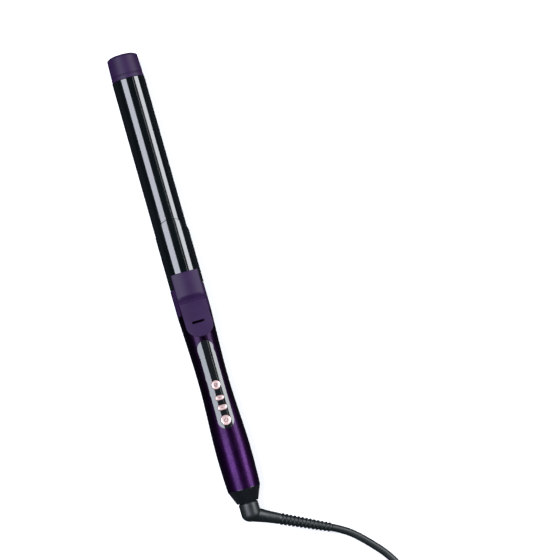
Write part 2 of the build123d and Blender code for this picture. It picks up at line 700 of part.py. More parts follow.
def power_switch_chip():
    s = S_BOARD + 17
    body = block(-5, 5, s, s + 15, BOARD_UNDER - 4.4, BOARD_UNDER)
    return body + block(-5, 5, s - 4, s, BOARD_UNDER - 4.4, BOARD_UNDER - 3.1)


def film_capacitor():
    s = S_BOARD + 40
    return block(-3.75, 3.75, s, s + 13, BOARD_UNDER - 8, BOARD_UNDER)


def mains_leads():
    x_side = CONTACT_RING_RADIUS + 0.1 + CONTACT_STRIP + 0.9
    s0, s1 = S_BLOCK - 1, S_BOARD + BOARD_LENGTH - 9
    points = ((s0, 0), (s1, 0), (s1, BOARD_UNDER))
    return [
        wire_run([(side * x_side, s, z) for s, z in points], 0.9, 1.3) for side in (-1, 1)
    ]


# ---- end cap and swivel ----
def end_cap():
    spigot = HANDLE_REAR_RADIUS - HANDLE_WALL - 0.1
    bore = SWIVEL_SHAFT_RADIUS + RUN_GAP
    return turned(
        [
            (HANDLE_REAR_RADIUS, S_CAP),
            (END_CAP_TAIL_RADIUS, S_TAIL),
            (bore, S_TAIL),
            (bore, S_CAP),
            (spigot - 1.35, S_CAP),
            (spigot - 1.35, S_CAP - CAP_SPIGOT),
            (spigot, S_CAP - CAP_SPIGOT),
            (spigot, S_CAP),
        ]
    )


def contact_block():
    outer = HANDLE_REAR_RADIUS - HANDLE_WALL - 0.1 - 1.35 - SEAT_GAP
    s1 = S_BLOCK + BLOCK_LENGTH
    body = ring(S_BLOCK, s1, outer, 5.6) + ring(S_BLOCK, S_BLOCK + 2, outer)
    half = CONTACT_STRIP_WIDTH / 2
    for side in (-1, 1):
        x0, x1 = contact_strip_x(side)
        body -= block(x0, x1, S_BLOCK - 1, S_BLOCK + 3, -half, half)
    return body


def contact_strip_x(side):
    near = CONTACT_RING_RADIUS + 0.1
    return sorted((side * near, side * (near + CONTACT_STRIP)))


def contact_springs():
    half = CONTACT_STRIP_WIDTH / 2
    strips = []
    for side, reach in ((-1, 8.0), (1, 12.0)):
        x0, x1 = contact_strip_x(side)
        strips.append(block(x0, x1, S_BLOCK - 5, S_BLOCK + reach, -half, half))
    return strips


def swivel_core():
    s_flange = S_CAP - SWIVEL_FLANGE - 0.1
    return turned(
        [
            (0, s_flange - SWIVEL_NOSE),
            (SWIVEL_NOSE_RADIUS, s_flange - SWIVEL_NOSE),
            (SWIVEL_NOSE_RADIUS, s_flange),
            (SWIVEL_FLANGE_RADIUS, s_flange),
            (SWIVEL_FLANGE_RADIUS, S_CAP - 0.1),
            (SWIVEL_SHAFT_RADIUS, S_CAP - 0.1),
            (SWIVEL_SHAFT_RADIUS, S_TAIL + BOOT_GAP + 4),
            (0, S_TAIL + BOOT_GAP + 4),
        ]
    )


def contact_rings():
    inner = SWIVEL_NOSE_RADIUS + SEAT_GAP
    s_flange = S_CAP - SWIVEL_FLANGE - 0.1
    starts = (s_flange - SWIVEL_NOSE + 1.4, s_flange - SWIVEL_NOSE + 6.2)
    return [ring(s, s + CONTACT_RING_WIDTH, CONTACT_RING_RADIUS, inner) for s in starts]


def boot_direction():
    angle, roll = math.radians(BOOT_ANGLE), math.radians(BOOT_ROLL)
    side = math.sin(angle)
    return Vector(side * math.cos(roll), -math.cos(angle), -side * math.sin(roll))


def elbow_centre():
    return Vector(0, y_at(S_ELBOW), AXIS_Z)


def boot_end():
    return elbow_centre() + boot_direction() * BOOT_REACH


def swivel_boot():
    """The rubber elbow that turns with the cord, with its ribbed, tapering strain relief."""
    s0 = S_TAIL + BOOT_GAP
    body = ring(s0, S_ELBOW, BOOT_COLLAR_RADIUS)
    dome = scale(Sphere(BOOT_COLLAR_RADIUS), by=(1, 0.8, 1))
    body += Pos(*elbow_centre()) * dome
    frame = Plane(elbow_centre(), z_dir=boot_direction())
    neck = [(0, 0), (5.6, 0), (BOOT_RADIUS, 15), (BOOT_RADIUS, BOOT_PLAIN)]
    rib_run = BOOT_REACH - BOOT_PLAIN
    pitch = rib_run / RIB_COUNT
    for i in range(RIB_COUNT):
        start = BOOT_PLAIN + i * pitch
        root = BOOT_RADIUS - RIB_HEIGHT - (BOOT_RADIUS - BOOT_END_RADIUS) * i / RIB_COUNT
        neck += [(root, start), (root, start + 0.4 * pitch)]
        neck += [(root + RIB_HEIGHT, start + 0.5 * pitch), (root + RIB_HEIGHT, start + 0.9 * pitch)]
    neck += [(BOOT_END_RADIUS, BOOT_REACH), (0, BOOT_REACH)]
    outline = Polyline(*[Vector(r, 0, d) for r, d in neck], close=True)
    body += frame * revolve(make_face(outline), Axis.Z)
    return body - ring(s0 - 1, s0 + 4, SWIVEL_SHAFT_RADIUS + SEAT_GAP)


# ---- cord, coil, tie and plug ----
def coil_entry():
    """Where the lead-in meets the coil, and the way it runs there."""
    angle = math.radians(COIL_ENTRY_ANGLE)
    radius = COIL_MEAN_RADIUS
    x = COIL_CENTRE[0] + radius * math.cos(angle)
    y = COIL_CENTRE[1] + radius * math.sin(angle)
    return Vector(x, y, CORD_RADIUS), Vector(math.sin(angle), -math.cos(angle), 0)


def cord_route():
    """The cord's points from the boot to the coil, chosen by hand."""
    start = boot_end()
    touch, way = coil_entry()
    return [
        start,
        start + boot_direction() * 11.5,
        Vector(80.2, -228.2, CORD_RADIUS),
        Vector(94.5, -244.6, CORD_RADIUS),
        Vector(103.5, -266.8, CORD_RADIUS),
        touch - way * (LEAD_IN + 24.0),
        touch - way * LEAD_IN,
    ]


def cord_radii(route):
    """The bend at each inner point: 0.45 of the shorter run over the tangent of half the turn."""
    radii = []
    for before, here, after in zip(route, route[1:], route[2:]):
        run_in, run_out = here - before, after - here
        half_turn = math.radians(run_in.get_angle(run_out)) / 2
        radii.append(0.45 * min(run_in.length, run_out.length) / math.tan(half_turn))
    return radii


def cord_tube():
    route = cord_route()
    radii = cord_radii(route)
    path = FilletPolyline(*route, radius=radii)
    tube = sweep(Plane(path @ 0, z_dir=path % 0) * Circle(CORD_RADIUS), path=path)
    wanted = math.pi * CORD_RADIUS**2 * path.length
    print("cord arc radii", [round(r, 1) for r in radii])
    print("cord tube length", round(path.length, 1))
    print("tube volume over section x length", round(tube.volume / wanted, 4))
    return tube


def coil_section(grow):
    half = COIL_HALF + grow
    height = CORD_DIAMETER * COIL_LAYERS
    return half, height


def cord_coil():
    """The wound cord as one ring, with the ends that lead into it and out to the plug."""
    half, height = coil_section(0)
    turns = RectangleRounded(2 * half, height, CORD_RADIUS - 0.1)
    profile = Pos(COIL_MEAN_RADIUS, COIL_BOTTOM + height / 2) * turns
    ring_solid = revolve(Plane.XZ * profile, Axis.Z)
    coil = Pos(COIL_CENTRE[0], COIL_CENTRE[1], 0) * ring_solid
    touch, way = coil_entry()
    start = cord_route()[-1]
    lead_in = extrude(Plane(start, z_dir=way) * Circle(CORD_RADIUS), (touch - start).length)
    coil += lead_in
    plug_at = plug_face()
    leave = Vector(COIL_CENTRE[0], plug_at.Y, COIL_BOTTOM + height - CORD_RADIUS)
    route = [leave, leave + Vector(-16, 0, 0), plug_at + Vector(14, 0, 0), plug_at]
    path = FilletPolyline(*route, radius=10)
    tail = sweep(Plane(path @ 0, z_dir=path % 0) * Circle(CORD_RADIUS), path=path)
    return coil + tail


def plug_face():
    """Where the cord enters the plug."""
    y = COIL_CENTRE[1] - COIL_MEAN_RADIUS - CORD_DIAMETER
    return Vector(COIL_CENTRE[0] - 52.0, y, PLUG_EYE_Z)


def cord_tie():
    """A strap round the coil at one place."""
    half, height = coil_section(TIE_SLACK)
    width, tall = 2 * half, height + 2 * TIE_GAP
    outer = RectangleRounded(width + 2 * TIE_SHEET, tall + 2 * TIE_SHEET, CORD_RADIUS)
    inner = RectangleRounded(width, tall, CORD_RADIUS - TIE_SHEET)
    strap = extrude(Plane.XZ * (outer - inner), TIE_WIDTH / 2, both=True)
    angle = math.radians(TIE_ANGLE)
    x = COIL_CENTRE[0] + COIL_MEAN_RADIUS * math.cos(angle)
    y = COIL_CENTRE[1] + COIL_MEAN_RADIUS * math.sin(angle)
    return Pos(x, y, TIE_SHEET + tall / 2) * Rot(0, 0, TIE_ANGLE) * strap


def plug_body():
    face = plug_face()
    half = PLUG_WIDTH / 2
    length = PLUG_LENGTH
    outline = [
        (0, 4.2), (-6, 5.4), (-16, half - 1.5), (-length + 5, half), (-length, half - 3),
        (-length, 3 - half), (-length + 5, -half), (-16, 1.5 - half), (-6, -5.4), (0, -4.2),
    ]
    plan = make_face(Polyline(*outline, close=True))
    body = extrude(plan, amount=PLUG_THICKNESS)
    body = chamfer(body.edges().group_by(Axis.Z)[0] + body.edges().group_by(Axis.Z)[-1], 1.6)
    return Pos(face.X, face.Y, 0) * body


def plug_pin_parts():
    face = plug_face()
    x = face.X - PLUG_LENGTH
    pins, sleeves = [], []
    for side in (-1, 1):
        y = face.Y + side * PIN_SPACING / 2
        bare = PIN_LENGTH - PIN_SLEEVE
        pin = Rot(0, 90, 0) * Cylinder(PIN_DIAMETER / 2, bare)
        sleeve = Rot(0, 90, 0) * Cylinder(PIN_DIAMETER / 2 - 0.1, PIN_SLEEVE)
        pins.append(Pos(x - PIN_SLEEVE - bare / 2, y, PLUG_EYE_Z) * pin)
        sleeves.append(Pos(x - PIN_SLEEVE / 2, y, PLUG_EYE_Z) * sleeve)
    return pins, sleeves


plug_pins, plug_pin_sleeves = plug_pin_parts()
nodes = {
    "tip_cap": tip_cap(),
    "tip_plug": tip_plug(),
    "barrel": ring(S_BARREL, S_COLLAR, BARREL_RADIUS, BARREL_BORE),
    "heat_spreader_upper": spreader(1),
    "heat_spreader_lower": spreader(-1),
    "heater_plate": heater_plate(),
    "insulating_sleeve": insulating_sleeve(),
    "thermistor": thermistor(),
    "thermal_fuse": thermal_fuse(),
    "heater_leads": group(heater_leads()),
    "sensor_leads": group(sensor_leads()),
    "barrel_ring": barrel_ring(),
    "ring_screws": group(ring_screws()),
    "collar": collar(),
    "clip_shell": clip_shell(),
    "clip_rivets": group(clip_rivets()),
    "clip_lever": clip_lever(),
    "hinge_pin": hinge_pin(),
    "torsion_spring": torsion_spring(),
    "stand": stand(),
    "stand_pin": stand_pin(),
    "handle_front_shell": handle_front_shell(),
    "handle_rear_shell": handle_rear_shell(),
    "handle_screws": group(handle_screws()),
    "control_panel": control_panel(),
    "circuit_board": circuit_board(),
    "board_screws": group(board_screws()),
    "tact_switches": group(tact_switches()),
    "power_switch_chip": power_switch_chip(),
    "film_capacitor": film_capacitor(),
    "mains_leads": group(mains_leads()),
    "end_cap": end_cap(),
    "contact_block": contact_block(),
    "contact_springs": group(contact_springs()),
    "swivel_core": swivel_core(),
    "contact_rings": group(contact_rings()),
    "swivel_boot": swivel_boot(),
    "cord_tube": cord_tube(),
    "cord_coil": cord_coil(),
    "cord_tie": cord_tie(),
    "plug_body": plug_body(),
    "plug_pins": group(plug_pins),
    "plug_pin_sleeves": group(plug_pin_sleeves),
}
for name in BUTTONS:
    nodes[name] = button(name)

os.makedirs("parts", exist_ok=True)
for name, shape in nodes.items():
    export_step(shape, f"parts/{name}.step")
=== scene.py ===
import bmesh
import bpy
import math
from mathutils import Matrix, Vector


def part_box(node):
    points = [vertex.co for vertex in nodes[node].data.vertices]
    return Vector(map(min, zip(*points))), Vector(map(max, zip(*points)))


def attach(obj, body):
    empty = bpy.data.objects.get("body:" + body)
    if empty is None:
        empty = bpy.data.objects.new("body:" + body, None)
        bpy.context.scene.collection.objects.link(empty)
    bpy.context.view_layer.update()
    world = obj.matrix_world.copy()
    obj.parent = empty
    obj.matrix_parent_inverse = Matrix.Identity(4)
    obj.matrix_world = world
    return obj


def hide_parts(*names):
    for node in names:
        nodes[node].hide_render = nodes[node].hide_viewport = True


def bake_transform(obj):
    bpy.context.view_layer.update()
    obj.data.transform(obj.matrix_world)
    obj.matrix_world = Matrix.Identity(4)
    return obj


# A hair curling iron lying on its back with the clip lever up. The barrel and its sprung clip
# point along +Y, the buttoned handle runs back to the swivelling cord, and the spare cord lies
# beside it in a tied coil. Metres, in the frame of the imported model.

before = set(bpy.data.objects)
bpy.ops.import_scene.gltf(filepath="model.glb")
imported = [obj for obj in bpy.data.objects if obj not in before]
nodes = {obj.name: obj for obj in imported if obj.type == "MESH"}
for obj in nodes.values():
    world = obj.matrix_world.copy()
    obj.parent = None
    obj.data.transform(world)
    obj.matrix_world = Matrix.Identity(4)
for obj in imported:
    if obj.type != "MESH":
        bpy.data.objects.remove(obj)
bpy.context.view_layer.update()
scene = bpy.context.scene
MM = 0.001

# ---- places along the iron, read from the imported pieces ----
barrel_low, barrel_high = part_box("barrel")
AXIS_Z = (barrel_low.z + barrel_high.z) / 2
BARREL_RADIUS = (barrel_high.x - barrel_low.x) / 2
TIP_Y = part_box("tip_cap")[1].y
BARREL_Y = barrel_high.y
COLLAR_Y = barrel_low.y
HANDLE_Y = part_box("handle_front_shell")[1].y
CAP_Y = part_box("end_cap")[1].y - 7 * MM
TAIL_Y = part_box("end_cap")[0].y
AXIS = Vector((0, 0, AXIS_Z))

# ---- cord, boot and coil, with the same points as the part's source ----
CORD_DIAMETER = 5.6 * MM
CORD_RADIUS = CORD_DIAMETER / 2
BOOT_ANGLE = math.radians(64.3)
BOOT_ROLL = math.radians(8.8)
BOOT_REACH = 63.2 * MM
ELBOW = Vector((0, TAIL_Y - 9.1 * MM, AXIS_Z))
BOOT_WAY = Vector(
    (
        math.sin(BOOT_ANGLE) * math.cos(BOOT_ROLL),
        -math.cos(BOOT_ANGLE),
        -math.sin(BOOT_ANGLE) * math.sin(BOOT_ROLL),
    )
)
BOOT_END = ELBOW + BOOT_WAY * BOOT_REACH
COIL_CENTRE = Vector((38.6, -310.6, 0)) * MM
# radius and height of each turn's middle line, wound in, out, and in again
COIL_TURNS = (
    (36.6, 3.5), (31.0, 3.5), (25.4, 3.5), (25.4, 9.1),
    (31.0, 9.1), (36.6, 9.1), (31.0, 14.7), (36.6, 14.7), (36.6, 14.7),
)
POINTS_PER_TURN = 16
COIL_START = -25.0
COIL_SWEEP = 65.0 + 8 * 360.0


# ================= camera =================
def place_camera():
    """A long lens almost straight above the iron, rolled so that the tip leans to the left."""
    eye = Vector((-0.114, -0.095, 1.463))
    target = Vector((0.069, -0.021, 0.013))
    lean = math.radians(15.97)
    forward = (target - eye).normalized()
    along = Vector((0, 1, 0))
    along = (along - forward * along.dot(forward)).normalized()
    across = forward.cross(along)
    up = along * math.cos(lean) + across * math.sin(lean)
    right = forward.cross(up)
    data = bpy.data.cameras.new("studio_camera")
    data.lens = 125
    data.sensor_width = 36
    data.clip_end = 20
    camera = bpy.data.objects.new("studio_camera", data)
    scene.collection.objects.link(camera)
    axes = Matrix((right, up, -forward)).transposed().to_4x4()
    camera.matrix_world = Matrix.Translation(eye) @ axes
    scene.camera = camera


place_camera()


# ================= making meshes =================
def link(name, mesh, smooth=True):
    if smooth:
        for face in mesh.polygons:
            face.use_smooth = True
    piece = bpy.data.objects.new(name, mesh)
    scene.collection.objects.link(piece)
    return piece


def mesh_from(name, bm):
    bmesh.ops.remove_doubles(bm, verts=bm.verts, dist=1e-7)
    bmesh.ops.recalc_face_normals(bm, faces=bm.faces)
    mesh = bpy.data.meshes.new(name)
    bm.to_mesh(mesh)
    bm.free()
    return mesh


def settled(piece):
    """The piece with its modifiers worked into a plain mesh."""
    bpy.context.view_layer.update()
    evaluated = piece.evaluated_get(bpy.context.evaluated_depsgraph_get())
    mesh = bpy.data.meshes.new_from_object(evaluated)
    piece.modifiers.clear()
    piece.data = mesh
    return piece


def eased(outline, radius, steps=5):
    """A closed (radius, y) outline with its corners eased and the flats beside them held flat."""
    result = []
    count = len(outline)
    for i, corner in enumerate(outline):
        here = Vector(corner)
        before = Vector(outline[i - 1]) - here
        after = Vector(outline[(i + 1) % count]) - here
        if here.x < 1e-7 or before.length < 1e-7 or after.length < 1e-7:
            result.append(tuple(here))
            continue
        reach = min(radius, 0.3 * before.length, 0.3 * after.length)
        a, b = before.normalized(), after.normalized()
        result.append(tuple(here + a * reach * 1.6))
        for k in range(steps + 1):
            t = k / steps
            point = here + a * reach * (1 - t) ** 2 + b * reach * t**2
            result.append(tuple(point))
        result.append(tuple(here + b * reach * 1.6))
    return result


def join_rings(bm, first, second, segments):
    """Faces between two rings, either of which may be a single point."""
    for k in range(segments):
        n = (k + 1) % segments
        corners = [first[k % len(first)], first[n % len(first)]]
        corners += [second[n % len(second)], second[k % len(second)]]
        bm.faces.new(list(dict.fromkeys(corners)))


def turned(name, outline, segments=128):
    """A closed (radius, y) outline turned about the iron's axis."""
    bm = bmesh.new()
    rings = []
    for r, y in outline:
        if r < 1e-7:
            rings.append([bm.verts.new((0, y, AXIS_Z))])
            continue
        ring = []
        for k in range(segments):
            angle = 2 * math.pi * k / segments
            ring.append(bm.verts.new((r * math.sin(angle), y, AXIS_Z + r * math.cos(angle))))
        rings.append(ring)
    for first, second in zip(rings, rings[1:] + rings[:1]):
        if len(first) == 1 and len(second) == 1:
            continue
        join_rings(bm, first, second, segments)
    return link(name, mesh_from(name, bm))


def softened(name, node, width, angle=35):
    """A copy of a CAD piece with its doubles merged and its edges rounded over."""
    bm = bmesh.new()
    bm.from_mesh(nodes[node].data)
    bmesh.ops.remove_doubles(bm, verts=bm.verts, dist=1e-6)
    bmesh.ops.dissolve_limit(bm, angle_limit=math.radians(0.3), verts=bm.verts, edges=bm.edges)
    mesh = bpy.data.meshes.new(name)
    bm.to_mesh(mesh)
    bm.free()
    mesh.materials.clear()
    piece = link(name, mesh)
    mesh.set_sharp_from_angle(angle=math.radians(angle))
    rounding = piece.modifiers.new("rounded_edges", "BEVEL")
    rounding.width = width
    rounding.segments = 3
    rounding.limit_method = "ANGLE"
    rounding.angle_limit = math.radians(angle)
    rounding.harden_normals = True
    rounding.use_clamp_overlap = True
    return settled(piece)


def stadium(half_x, half_y, inset, count=48):
    """Points round an oblong or round outline, drawn in by an inset."""
    half_x, half_y = half_x - inset, half_y - inset
    radius = min(half_x, half_y)
    points = []
    for k in range(count):
        angle = 2 * math.pi * (k + 0.5) / count
        x, y = radius * math.cos(angle), radius * math.sin(angle)
        x += math.copysign(half_x - radius, x)
        y += math.copysign(half_y - radius, y)
        points.append((x, y))
    return points


def stacked(name, centre, half_x, half_y, levels, count=48):
    """A closed piece made of oblong rings at (inset, height) levels, closed at both ends."""
    bm = bmesh.new()
    rings = []
    for inset, z in levels:
        outline = stadium(half_x, half_y, inset, count)
        rings.append([bm.verts.new((centre.x + x, centre.y + y, z)) for x, y in outline])
    for low, high in zip(rings, rings[1:]):
        for k in range(count):
            n = (k + 1) % count
            bm.faces.new((low[k], low[n], high[n], high[k]))
    for ring in (rings[0], rings[-1]):
        bm.faces.new(ring)
    return link(name, mesh_from(name, bm))


# ================= cord =================
def route_points():
    """The cord's line from the boot, round the coil and out to the plug."""
    way_angle = math.radians(-43)
    touch = COIL_CENTRE + Vector((math.cos(way_angle), math.sin(way_angle), 0)) * 31 * MM
    touch.z = CORD_RADIUS
    way = Vector((math.sin(way_angle), -math.cos(way_angle), 0))
    points = [
        BOOT_END,
        BOOT_END + BOOT_WAY * 11.5 * MM,
        Vector((80.2, -228.2, 2.8)) * MM,
        Vector((94.5, -244.6, 2.8)) * MM,
        Vector((103.5, -266.8, 2.8)) * MM,
        touch - way * 54 * MM,
        touch - way * 30 * MM,
    ]
    # a curve of this kind runs inside its points by this share of a turn's radius
    pull = 0.75 + 0.25 * math.cos(2 * math.pi / POINTS_PER_TURN)
    step = 360.0 / POINTS_PER_TURN
    count = int(COIL_SWEEP / step)
    for i in range(count + 1):
        swept = i * step
        turn = int(swept // 360)
        share = (swept % 360) / 360
        move = min(max((share - 0.8) / 0.2, 0), 1)
        move = move * move * (3 - 2 * move)
        r0, z0 = COIL_TURNS[turn]
        r1, z1 = COIL_TURNS[min(turn + 1, len(COIL_TURNS) - 1)]
        radius = (r0 + (r1 - r0) * move) * MM / pull
        angle = math.radians(COIL_START - swept)
        height = (z0 + (z1 - z0) * move) * MM
        points.append(COIL_CENTRE + Vector((radius * math.cos(angle), radius * math.sin(angle), height)))
    plug_face = Vector((COIL_CENTRE.x - 52 * MM, COIL_CENTRE.y - 36.6 * MM, 6.85 * MM))
    points += [
        Vector((COIL_CENTRE.x - 16 * MM, plug_face.y, 14.7 * MM)),
        plug_face + Vector((14 * MM, 0, 0)),
        plug_face,
    ]
    return points


def cord_line(points, thickness):
    curve = bpy.data.curves.new("mains_cord", "CURVE")
    curve.dimensions = "3D"
    spline = curve.splines.new("NURBS")
    spline.points.add(len(points) - 1)
    for knot, point in zip(spline.points, points):
        knot.co = (*point, 1)
    spline.order_u = 3
    spline.use_endpoint_u = True
    spline.resolution_u = 5
    curve.bevel_depth = thickness
    curve.bevel_resolution = 5
    curve.use_fill_caps = True
    holder = bpy.data.objects.new("cord_line", curve)
    scene.collection.objects.link(holder)
    bpy.context.view_layer.update()
    evaluated = holder.evaluated_get(bpy.context.evaluated_depsgraph_get())
    mesh = bpy.data.meshes.new_from_object(evaluated)
    bpy.data.objects.remove(holder)
    return mesh


route = route_points()
cord_path = [tuple(v.co) for v in cord_line(route, 0).vertices]
cord_mesh = cord_line(route, CORD_RADIUS)
cord_mesh.name = "mains_cord"
mains_cord = link("mains_cord", cord_mesh)


# ================= shader groups =================
def add(tree, kind, inputs=None, **settings):
    """A node with its settings, each input given a value or a link."""
    node = tree.nodes.new(kind)
    for key, value in settings.items():
        setattr(node, key, value)
    for key, value in (inputs or {}).items():
        if isinstance(value, bpy.types.NodeSocket):
            tree.links.new(value, node.inputs[key])
        else:
            node.inputs[key].default_value = value
    return node


def math_node(tree, operation, *values):
    return add(tree, "ShaderNodeMath", dict(enumerate(values)), operation=operation).outputs[0]


def spread(tree, value, from_min, from_max, to_min, to_max):
    inputs = {"Value": value, "From Min": from_min, "From Max": from_max, "To Min": to_min, "To Max": to_max}
    return add(tree, "ShaderNodeMapRange", inputs).outputs["Result"]


def shader_group(name, inputs, outputs):
    tree = bpy.data.node_groups.new(name, "ShaderNodeTree")
    for label, value in inputs:
        socket = tree.interface.new_socket(label, in_out="INPUT", socket_type="NodeSocketFloat")
        socket.default_value = value
    for label in outputs:
        tree.interface.new_socket(label, in_out="OUTPUT", socket_type="NodeSocketFloat")
    return tree, tree.nodes.new("NodeGroupInput").outputs, tree.nodes.new("NodeGroupOutput").inputs


def make_moulding_grain():
    """Fine tooth left by the mould: a slight change of shade, roughness and height."""
    inputs = [("Scale", 1600.0), ("Contrast", 0.12), ("Smoothest", 0.35), ("Roughest", 0.5)]
    tree, given, result = shader_group("moulding_grain", inputs, ["Shade", "Roughness", "Height"])
    place = add(tree, "ShaderNodeTexCoord").outputs["Object"]
    fine = add(tree, "ShaderNodeTexNoise", {"Vector": place, "Scale": given["Scale"], "Detail": 3.0})
    wide_scale = math_node(tree, "MULTIPLY", given["Scale"], 0.06)
    wide = add(tree, "ShaderNodeTexNoise", {"Vector": place, "Scale": wide_scale, "Detail": 2.0})
    swing = math_node(tree, "SUBTRACT", wide.outputs["Fac"], 0.5)
    swing = math_node(tree, "MULTIPLY", swing, given["Contrast"])
    tree.links.new(math_node(tree, "MULTIPLY_ADD", swing, 2.0, 1.0), result["Shade"])
    blend = math_node(tree, "MULTIPLY_ADD", fine.outputs["Fac"], 0.6, 0.2)
    blend = math_node(tree, "MULTIPLY", blend, wide.outputs["Fac"])
    rough = spread(tree, blend, 0.1, 0.45, given["Smoothest"], given["Roughest"])
    tree.links.new(rough, result["Roughness"])
    tree.links.new(fine.outputs["Fac"], result["Height"])
    return tree


def make_handling_marks():
    """Faint smears and dulled patches where hands and hair rub a glossy surface."""
    tree, given, result = shader_group("handling_marks", [("Scale", 45.0), ("Amount", 1.0)], ["Mask"])
    place = add(tree, "ShaderNodeTexCoord").outputs["Object"]
    look = {"Vector": place, "Scale": given["Scale"], "Detail": 5.0, "Distortion": 0.6}
    cloud = add(tree, "ShaderNodeTexNoise", look)
    mask = spread(tree, cloud.outputs["Fac"], 0.45, 0.75, 0.0, 1.0)
    tree.links.new(math_node(tree, "MULTIPLY", mask, given["Amount"]), result["Mask"])
    return tree


def make_metal_flake():
    """Tiny metal flakes held in a lacquer, each a little brighter or duller than the next."""
    values = [("Scale", 2600.0), ("Amount", 1.0)]
    tree, given, result = shader_group("metal_flake", values, ["Flake", "Height"])
    place = add(tree, "ShaderNodeTexCoord").outputs["Object"]
    cells = add(tree, "ShaderNodeTexVoronoi", {"Vector": place, "Scale": given["Scale"]})
    parts = add(tree, "ShaderNodeSeparateColor", {"Color": cells.outputs["Color"]})
    bright = math_node(tree, "POWER", parts.outputs["Red"], 4.0)
    tree.links.new(math_node(tree, "MULTIPLY", bright, given["Amount"]), result["Flake"])
    tree.links.new(parts.outputs["Green"], result["Height"])
    return tree


def make_diagonal_hatch():
    """Fine slanting lines that run round the handle like a screw thread."""
    tree, given, result = shader_group("diagonal_hatch", [("Pitch", 0.0011), ("Radius", 0.012)], ["Line"])
    place = add(tree, "ShaderNodeTexCoord").outputs["Object"]
    axes = add(tree, "ShaderNodeSeparateXYZ", {"Vector": place})
    height = math_node(tree, "SUBTRACT", axes.outputs["Z"], AXIS_Z)
    turn = math_node(tree, "ARCTAN2", axes.outputs["X"], height)
    round_way = math_node(tree, "MULTIPLY", turn, given["Radius"])
    slant = math_node(tree, "ADD", round_way, axes.outputs["Y"])
    phase = math_node(tree, "DIVIDE", slant, given["Pitch"])
    wave = math_node(tree, "SINE", math_node(tree, "MULTIPLY", phase, 2 * math.pi))
    tree.links.new(math_node(tree, "MULTIPLY_ADD", wave, 0.5, 0.5), result["Line"])
    return tree


moulding_grain = make_moulding_grain()
handling_marks = make_handling_marks()
metal_flake = make_metal_flake()
diagonal_hatch = make_diagonal_hatch()


# ================= materials =================
def use(tree, group, **values):
    node = add(tree, "ShaderNodeGroup", node_tree=group)
    for label, value in values.items():
        node.inputs[label].default_value = value
    return node.outputs


def start_material(name, **sockets):
    """An empty material with its shader, whose even values sit on its own sockets."""
    finish = bpy.data.materials.new(name)
    finish.use_nodes = True
    tree = finish.node_tree
    shader = tree.nodes["Principled BSDF"]
    for label, value in sockets.items():
        shader.inputs[label.replace("_", " ")].default_value = value
    return finish, tree, shader


def shaded(tree, colour, shade):
    inputs = {"Color": (*colour, 1), "Value": shade}
    return add(tree, "ShaderNodeHueSaturation", inputs).outputs["Color"]


def moulded(name, colour, smooth, rough, scale=1600.0, depth=0.00003, contrast=0.12, **sockets):
    """A moulded, drawn or rolled surface with fine grain and slightly uneven shade."""
    finish, tree, shader = start_material(name, **sockets)
    grain = use(tree, moulding_grain, Scale=scale, Contrast=contrast, Smoothest=smooth, Roughest=rough)
    tree.links.new(shaded(tree, colour, grain["Shade"]), shader.inputs["Base Color"])
    tree.links.new(grain["Roughness"], shader.inputs["Roughness"])
    bump = add(tree, "ShaderNodeBump", {"Height": grain["Height"], "Distance": depth, "Strength": 0.5})
    tree.links.new(bump.outputs["Normal"], shader.inputs["Normal"])
    return finish


def make_ceramic_coat():
    """The barrel's glossy black ceramic coat, with faint rub marks along it."""
    finish, tree, shader = start_material("black_ceramic_coat", IOR=1.62)
    grain = use(tree, moulding_grain, Scale=900.0, Contrast=0.3, Smoothest=0.07, Roughest=0.1)
    marks = use(tree, handling_marks, Scale=38.0, Amount=0.06)
    rough = math_node(tree, "ADD", grain["Roughness"], marks["Mask"])
    tree.links.new(shaded(tree, (0.002, 0.0035, 0.004), grain["Shade"]), shader.inputs["Base Color"])
    tree.links.new(rough, shader.inputs["Roughness"])
    bump = add(tree, "ShaderNodeBump", {"Height": grain["Height"], "Distance": 0.000004, "Strength": 0.3})
    tree.links.new(bump.outputs["Normal"], shader.inputs["Normal"])
    return finish


